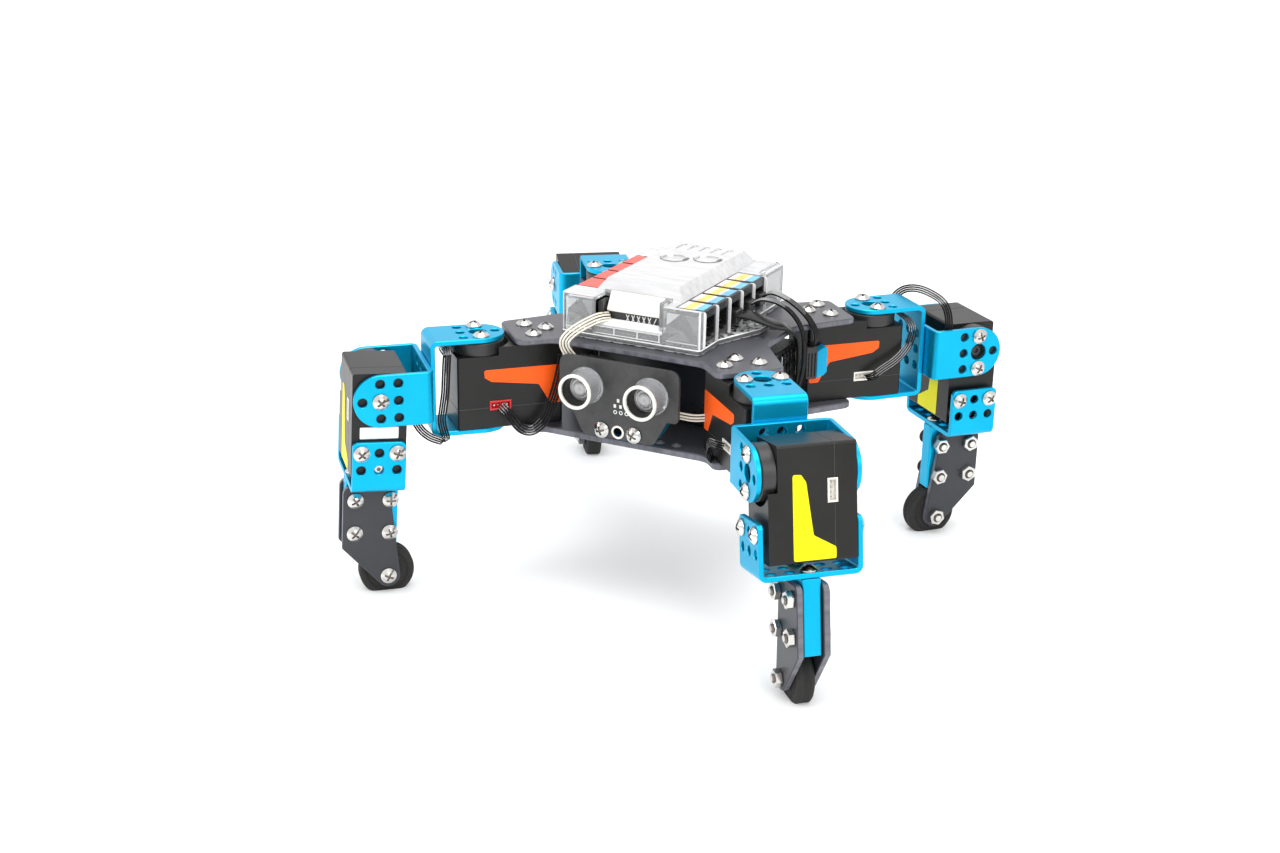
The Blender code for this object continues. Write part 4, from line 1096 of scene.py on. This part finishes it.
def sensor():
    """Distance sensor: board on its tab, two metal eyes in clear sleeves, printed dots and screws."""
    half = SENSOR_HALF
    right = [(17.5, -18.5, 4), (24, -6.5, 1), (half, -6.5, 2.5), (half, 17.5, 4.5)]
    outline = rounded([(-x, z, r) for x, z, r in reversed(right)] + right, 6)
    holes = [circle((x, SENSOR_SCREW_Z), SMALL_HOLE, 20) for x in (-PITCH, 0, PITCH)]
    card, bracket = 1.6, 2.8
    stand = Matrix.Translation((0, (SENSOR_Y + card) * MM, 0)) @ UPRIGHT
    piece("sensor_board_card", plate("card", [outline] + holes, 0, card, 0.15), BODY @ stand, "chassis",
          "circuit_board", BOARD, ["sensor_board"])
    front = BODY @ Matrix.Translation((0, SENSOR_Y * MM, 0)) @ UPRIGHT

    def place(name, mesh, slot, material, node=None, seat=front, **more):
        piece(f"sensor_{name}", mesh, seat, "chassis", slot, material, [node] if node else (), **more)

    bar = block(-0.62, 0.62, -0.8, 0.8, 0, 0.06, 0.01)
    ring = plate("ring", [circle((0, 0), 0.95, 20), circle((0, 0), 0.55, 16)], 0, 0.06, 0.01)
    rows = ((bar, -0.2, (0.0, 2.9)), (bar, -2.9, (-1.6, 1.2, 4.0)), (ring, -5.7, (-1.4, 1.4, 4.2)))
    dots = [(mark, at(x, z, 0)) for mark, z, xs in rows for x in xs]
    place("board_print", combined(dots, "dots"), "white_label", SILK, weighted=False)
    middle = (0, SENSOR_SCREW_Z)
    eyelet = plate("eyelet", [circle(middle, 3.1, 32), circle(middle, SMALL_HOLE, 28)], 0, 0.35, 0.1)
    place("eyelet", eyelet, "white_label", WHITE)
    screws = [((x, SENSOR_SCREW_Z, 0), Z, 40 + 3 * x) for x in (-PITCH, PITCH)]
    copies("sensor_screws", SCREW, screws, front, "chassis")
    outside, top, bore = EYE_RADIUS, EYE_LENGTH, 7.35
    can = turned([(0, 0.2), (7.2, 0.2), (7.2, 8.6), (7.15, 9.0), (7.12, 4.8), (0, 4.8)], 40)
    dome = [(6.0 * i / 6, 5.0 + 1.6 * (1 - (i / 6) ** 2)) for i in range(1, 7)]
    eye_parts = (
        ("can", can, "sensor_can", CAN, True),
        ("liner", ring_mesh([(6.05, 4.9), (7.1, 4.9), (7.1, 10.3), (6.75, 10.3), (6.15, 9.0)]),
         "sensor_can", DARK, True),
        ("gauze", turned([(0, 6.6)] + dome + [(6.0, 4.9), (0, 4.9)], 40), "sensor_can", GAUZE, False),
        ("sleeve", ring_mesh([(bore, 0.15), (outside, 0.15), (outside, top - 1.0), (bore, top - 1.0)]),
         "clear_case", SLEEVE, True),
        ("seat", ring_mesh([(outside + 0.1, 0.02), (outside + 0.7, 0.02), (outside + 0.7, 0.5),
                            (outside + 0.1, 0.6)]), "clear_case", SLEEVE, True),
        ("rim", ring_mesh([(7.2, top - 0.95), (outside + 0.15, top - 0.95), (outside + 0.15, top - 0.2),
                           (outside - 0.3, top + 0.1), (7.4, top + 0.1), (7.2, top - 0.2)]),
         "white_label", WHITE, True),
    )
    for side, x in (("left", -EYE_X), ("right", EYE_X)):
        seat = front @ Matrix.Translation((x * MM, EYE_Z * MM, 0)) @ Matrix.Diagonal((0.92, 0.92, 1, 1))
        for part, mesh, slot, material, weighted in eye_parts:
            node = f"sensor_eye_{side}" if part == "can" else None
            place(f"eye_{side}_{part}", mesh, slot, material, node, seat, weighted=weighted)
    chips = [(block(-4, 4, -3, 3, 0, 1.2, 0.1), at(-6, 4, -2.9)),
             (block(-3, 3, -2, 2, 0, 1.2, 0.1), at(8, -4, -2.9)),
             (block(-8.5, 8.5, -3.2, 3.2, 0, 6.0, 0.3), at(-14, 13.2, -7.7)),
             (block(-5, 4, -17.6, -11, 0, 0.8, 0.1), at(0, 0, -5.3))]
    place("board_chips", combined(chips, "chips"), "socket_plastic", GLOSS_BLACK)
    tab = [(-22.6, -7.4, 1), (-16.4, -17.8, 2), (16.4, -17.8, 2), (22.6, -7.4, 1)]
    upright = plate("upright", [rounded(tab), circle(middle, 3.7, 24)], 0.3, 2.5, 0.25)
    flank = hull([(x, y, z) for x, y in ((20.6, -7.5), (22.4, -7.5), (14.6, -17.6), (16.4, -17.6))
                  for z in (-6.5, 0.3)])
    tray = block(-14, 14, SENSOR_Y + 4.2, -46.5, LOW_PLATE[1] + 0.05, LOW_PLATE[1] + 2.25, 0.25, 1.0)
    lift = Matrix.Translation((0, SENSOR_Y + card + bracket, 0)) @ UPRIGHT
    flip = Matrix.Diagonal((-1, 1, 1, 1))
    angle = combined([(upright, lift), (flank, lift), (flank, lift @ flip), (tray, at())], "angle")
    place("bracket", angle, "blue_aluminium", BLUE, seat=BODY)


def ring_mesh(section, steps=44):
    """A closed (radius, height) section turned about Z into a ring."""
    bm = bmesh.new()
    rings = [[bm.verts.new((x * MM, y * MM, height * MM)) for x, y in circle((0, 0), radius, steps)]
             for radius, height in section]
    skin(bm, rings + rings[:1])
    return finished_mesh(bm, "ring")


# ---------------------------------------------------------------- leads

HIP_LEAD = [
    (-7.3, 13.9, -9.6), (-8.2, 17, -10.6), (-12, 18.5, -15.5), (-15.6, 18.5, -19.6), (-20.4, 18.5, -20.8),
    (-25.6, 18.5, -17), (-28.8, 18.5, -10.2), (-31.8, 17.5, -2.6), (-34.2, 16.8, 6), (-35.4, 16.2, 13),
]
FRONT_LEG_LEAD = [
    (-7.3, -14.0, -9.6), (-5.5, -17, -9), (1, -19.5, -5), (8, -18.5, 3), (13.5, -12, 11),
    (15.6, -3, 16.0), (15.6, 5.5, 18.0), (16.2, 11.5, 16.8), (17.0, 14, 12.5), (17.4, 14, 6), (17.8, 14, -1),
    (18.8, 14, -8), (19.6, 14, -14), (18.8, 14.4, -19), (18.0, 15.2, -22.2), (19.2, 16.2, -23.2),
    (22, 16.0, -22.2), (25.5, 14.6, -20.8), (29, 12.6, -17.8), (32, 10.8, -12.4), (34, 9.4, -8),
]
REAR_LEG_LEAD = [
    (-7.3, -14.0, -9.6), (-5.6, -17, -8.4), (-0.8, -17.4, -5.2), (5.3, -17.2, -2.0), (10.3, -16.6, 1.8),
    (14.3, -15, 6), (17.2, -12, 11), (17.4, -7, 14.6), (16.6, 0, 15.8), (17.2, 8, 16.8),
    (20.5, 14.2, 19.6), (23.6, 12.5, 23.4), (25.8, 8, 25.6), (27.5, 1, 26.8), (29.0, -7, 26.6), (30.2, -14, 25.4),
    (31.4, -17.6, 22.4), (32.4, -19.0, 17), (32.6, -18.6, 10), (31.8, -12, 0), (31.6, -2, -7), (32.4, 6, -9),
    (34, 9.2, -8),
]
FRONT_RIGHT_LEAD = [
    (-7.3, -14.0, -9.4), (-6.0, -17.6, -7.6), (-9, -19.2, -7.4), (-14, -18.4, -10), (-18.0, -17.0, -14.2),
    (-19.6, -14.2, -19.6), (-25, -11, -21.6), (-36, -7, -21.4),
]
SENSOR_LEAD = [
    (-14.5, -42.0, 31.6), (-17, -47, 31.9), (-20.3, -51.5, 30.4), (-24.8, -56, 27.2),
    (-27.8, -58.9, 23.6), (-28.3, -59.2, 20.4), (-26.6, -57.9, 16.2), (-23, -57.2, 12.5), (-18, -57.6, 10.0),
]
# Cables from the signal sockets: two bundles, as strand offsets and points, and one flat ribbon.
SIGNAL_CABLES = (
    ([(-1.2, 0), (0, 0), (1.2, 0)],
     [(34.6, 2.6, 33), (39.5, 5.5, 35.0), (46, 9.5, 33), (51.5, 12.5, 28.0), (55.5, 14.2, 21),
      (57.2, 14.5, 12), (56.8, 14.5, 1), (54, 15.5, -9), (49, 17, -13)]),
    ([(-1.8, 0), (-0.6, 0), (0.6, 0), (1.8, 0)],
     [(34.6, 15.6, 33), (39.5, 17, 35.4), (47, 18.8, 32.4), (54.4, 20.6, 26.4), (58.6, 22.6, 19.4),
      (58.8, 25.2, 13.6), (57.0, 27.4, 9.9)]),
)
SIGNAL_RIBBON = [(34.6, -11.2, 32), (38.5, -10, 31.6), (42, -7.5, 30.2), (45.2, -3.8, 28), (48.5, 1, 25.6),
                 (51.7, 5.5, 23.6), (54.5, 9, 19), (55.2, 10.8, 9), (54.6, 11.5, -3), (50, 13, -11)]
BATTERY_LEAD = [(16, -52, -6.5), (24, -51.5, -5.4), (32, -50.5, -5.6), (38, -48, -5), (40, -42, -6),
                (36, -34, -9)]
# Where a lead's strands lie beside its route, and which way across it they are spread along the way.
FOUR = [(-1.5, 0), (-0.5, 0.08), (0.5, -0.08), (1.5, 0)]
WIDE = [(-1.8, 0), (-0.6, 0.1), (0.6, -0.1), (1.8, 0)]
CREAM = [(-1.95, 0), (-0.65, 0.2), (0.65, -0.15), (1.95, 0.1)]
LEVEL, TALL = [(0, Y), (1, Y)], [(0, Z), (1, Z)]
FRONT_LEG_TWIST = [(0, (0.85, -0.1, -0.4)), (1, (0.85, -0.1, -0.4))]
REAR_LEG_TWIST = [(0, (0.6, -0.35, -0.6)), (0.3, (0.85, -0.3, 0.0)), (0.46, (0.4, -0.45, -0.8)),
                  (0.56, (-0.4, -0.2, -0.85)), (0.72, (-0.94, 0.3, -0.1)), (1, (-0.85, 0.35, 0.2))]
HIP_TWIST = [(0, (0.78, 0, -0.62)), (0.45, (-0.1, 0.37, -0.9)), (1, (-0.85, 0.38, -0.3))]
SENSOR_TWIST = [(0, (0.66, 0.02, -0.75)), (0.55, (0.75, 0.2, -0.45)), (1, (0.66, 0.48, 0.41))]
RIBBON_TWIST = [(0, (0.1, -1, -0.05)), (0.25, (0.6, -0.8, -0.2)), (0.5, (0.66, -0.73, -0.17)),
                (1, (0.6, -0.8, 0))]


def with_painted_highlight(mesh):
    """Black cable with a paler top on each strand: a painted highlight for the bright line along it."""
    return dress(mesh, (CABLE, CABLE_PAINTED_HIGHLIGHT), lambda middle, normal, size: int(normal.z > 0.66))


def leg_lead(leg, points, twist, split):
    """Lead over both joints of a leg, made as two halves that meet near one of its points."""
    routes = ribbon(smooth_route(points, SPACING), FOUR, twist)
    cut = min(range(len(routes[0])), key=lambda i: (routes[1][i] - Vector(points[split])).length)
    halves = (("hip", [route[: cut + 1] for route in routes], "chassis", f"{leg}_upper_leg", 0, split),
              ("knee", [route[cut:] for route in routes], f"{leg}_upper_leg", f"{leg}_lower_leg", split, -1))
    for end, part, first, second, a, b in halves:
        made = placed(f"{leg}_leg_lead_{end}_half", with_painted_highlight(strands(part, STRAND, 8)), HIP[leg])
        if end == "hip":
            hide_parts(f"{leg}_leg_lead")
        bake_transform(made)


def leads():
    leg_lead("front_left", FRONT_LEG_LEAD, FRONT_LEG_TWIST, 6)
    leg_lead("rear_right", REAR_LEG_LEAD, REAR_LEG_TWIST, 8)

    def wires(name, points, offsets, twist, radius, matrix, material, slot, replaces=()):
        mesh = strands(ribbon(smooth_route(points, SPACING), offsets, twist), radius, 10, name)
        if material == CABLE:
            with_painted_highlight(mesh)
        piece(name, mesh, matrix, "chassis", slot, material, replaces, weighted=False)

    black, cream = (CABLE, "black_lead"), (WIRE, "white_lead")
    wires("front_left_hip_lead_wires", HIP_LEAD, WIDE, HIP_TWIST, HIP_STRAND, MOUNT["front_left"], *black,
          ["front_left_hip_lead"])
    wires("front_right_hip_lead_wires", FRONT_RIGHT_LEAD, FOUR, TALL, STRAND, MOUNT["front_right"], *black)
    wires("sensor_lead_wires", SENSOR_LEAD, CREAM, SENSOR_TWIST, CREAM_STRAND, BODY, *cream, ["sensor_lead"])
    wires("battery_lead_wires", BATTERY_LEAD, CREAM[:3], TALL, STRAND, BODY, *cream)
    for number, (offsets, points) in enumerate(SIGNAL_CABLES):
        wires(f"signal_cable_{number + 4}", points, offsets, LEVEL, CABLE_STRAND, BODY, *black,
              ["signal_cables"] if number == 1 else ())
    flat = band(smooth_route(SIGNAL_RIBBON, BAND_SPACING), 4.7, 1.1, RIBBON_TWIST, 2.2)
    fixed("signal_cable_3", flat, "black_lead", CABLE, weighted=False)
    for number, start in ((3, SIGNAL_RIBBON[0]), (4, SIGNAL_CABLES[0][1][0]), (5, SIGNAL_CABLES[1][1][0])):
        plug = block(28.5, 35.4, -3.4, 3.4, -3.0, 3.0, 0.4, 0.5)
        seat = BODY @ Matrix.Translation((0, start[1] * MM, (start[2] - 1) * MM))
        piece(f"signal_cable_{number}_plug", plug, seat, "chassis", "socket_plastic", GLOSS_BLACK)


def side_adapter():
    """Adapter by the rear right hip servo, its plug's blue latch, and the terminals between the plates."""
    mount = MOUNT["rear_right"]
    body = block(-40.2, -34.5, -6.2, 9.8, 12.5, 19.0, 0.4, 0.8)
    slots = [block(-39.4 + 1.6 * i, -38.6 + 1.6 * i, -5.0, 6.5, 18.4, 19.5, 0) for i in range(3)]
    adapter = combined([(shape(body, slots, bevel=0.1), UPRIGHT)], "adapter")
    piece("side_adapter", adapter, mount, "chassis", "socket_plastic", GLOSS_BLACK)
    latch = [(-34.3, -6.3), (-30.6, -5.2), (-29.0, -3.6), (-29.0, 8.2), (-30.4, 8.6), (-34.3, 6.6)]
    boot = combined([(plate("latch", [latch], 12.7, 18.2, 0.3), UPRIGHT)], "boot")
    piece("side_adapter_latch", boot, mount, "chassis", "blue_plastic", BLUE_PLASTIC)
    places = (6, 10, 14, 18)
    terminals = [block(33.5, 48.6, 3.0, 28.0, -17.5, 11.0, 0.5, 1.0),
                 block(-48.0, -31.0, -17.0, 28.0, -17.5, 15.0, 0.5, 1.0)]
    terminals += [block(48.4, 49.6, y - 0.9, y + 0.9, -14, 9.0, 0.2) for y in places]
    fixed("side_terminals", merged(terminals, "terminals"), "socket_plastic", GLOSS_BLACK)
    pins = [block(49.3, 50.1, y - 0.35, y + 0.35, z, z + 4.2, 0.1) for y in places for z in (-9, -2, 5)]
    fixed("side_terminal_pins", merged(pins, "pins"), "steel_fastener", STEEL)


# ---------------------------------------------------------------- stage


def stage():
    floor = bpy.data.meshes.new("floor")
    half = 9.0
    corners = [(-half, -half, 0), (half, -half, 0), (half, half, 0), (-half, half, 0)]
    floor.from_pydata(corners, [], [(0, 1, 2, 3)])
    ground = placed("floor", floor, Matrix())
    floor.materials.append(surface("pale_floor", (0.86, 0.86, 0.86), (0.5, 0.6), 0.01, 3, 200, 0.0,
                                   emission=(1, 1, 1, 1), glow=0.12))
    world = bpy.data.worlds.new("studio")
    world.use_nodes = True
    world.node_tree.nodes["Background"].inputs["Color"].default_value = (1.0, 1.0, 1.0, 1.0)
    world.node_tree.nodes["Background"].inputs["Strength"].default_value = 1.1
    bpy.context.scene.world = world
    target = Vector((0, 0, 0.08))
    lamps = (("overhead", (0.1, -0.1, 1.3), 0.9, 10), ("left", (-1.2, -0.9, 0.8), 0.7, 6),
             ("right", (1.1, -0.9, 0.9), 0.6, 6))
    for name, spot, size, power in lamps:
        lamp = bpy.data.lights.new(name, "AREA")
        lamp.size = size
        lamp.energy = power
        made = placed(name, lamp, Matrix.Translation(spot))
        made.rotation_euler = (target - Vector(spot)).to_track_quat("-Z", "Y").to_euler()
    bpy.context.scene.view_settings.view_transform = "Standard"


def camera():
    az, el, roll = (radians(a) for a in (CAMERA_AZIMUTH, CAMERA_ELEVATION, CAMERA_ROLL))
    right = Vector((cos(az), sin(az), 0))
    back = Vector((sin(az) * cos(el), -cos(az) * cos(el), sin(el)))
    up = back.cross(right)
    made = bpy.data.cameras.new("camera")
    made.sensor_width = 36.0
    made.lens = CAMERA_LENS
    made.clip_start = 0.01
    turned_right, turned_up = cos(roll) * right + sin(roll) * up, cos(roll) * up - sin(roll) * right
    seat = axes(turned_right, turned_up, back, Vector(CAMERA_AT) * MM)
    bpy.context.scene.camera = placed("camera", made, seat)


camera()
stage()
leads()
for leg in KNEE_LEAN:
    leg_pieces(leg)
body_plates()
controller_case()
controller_inside()
side_adapter()
sensor()
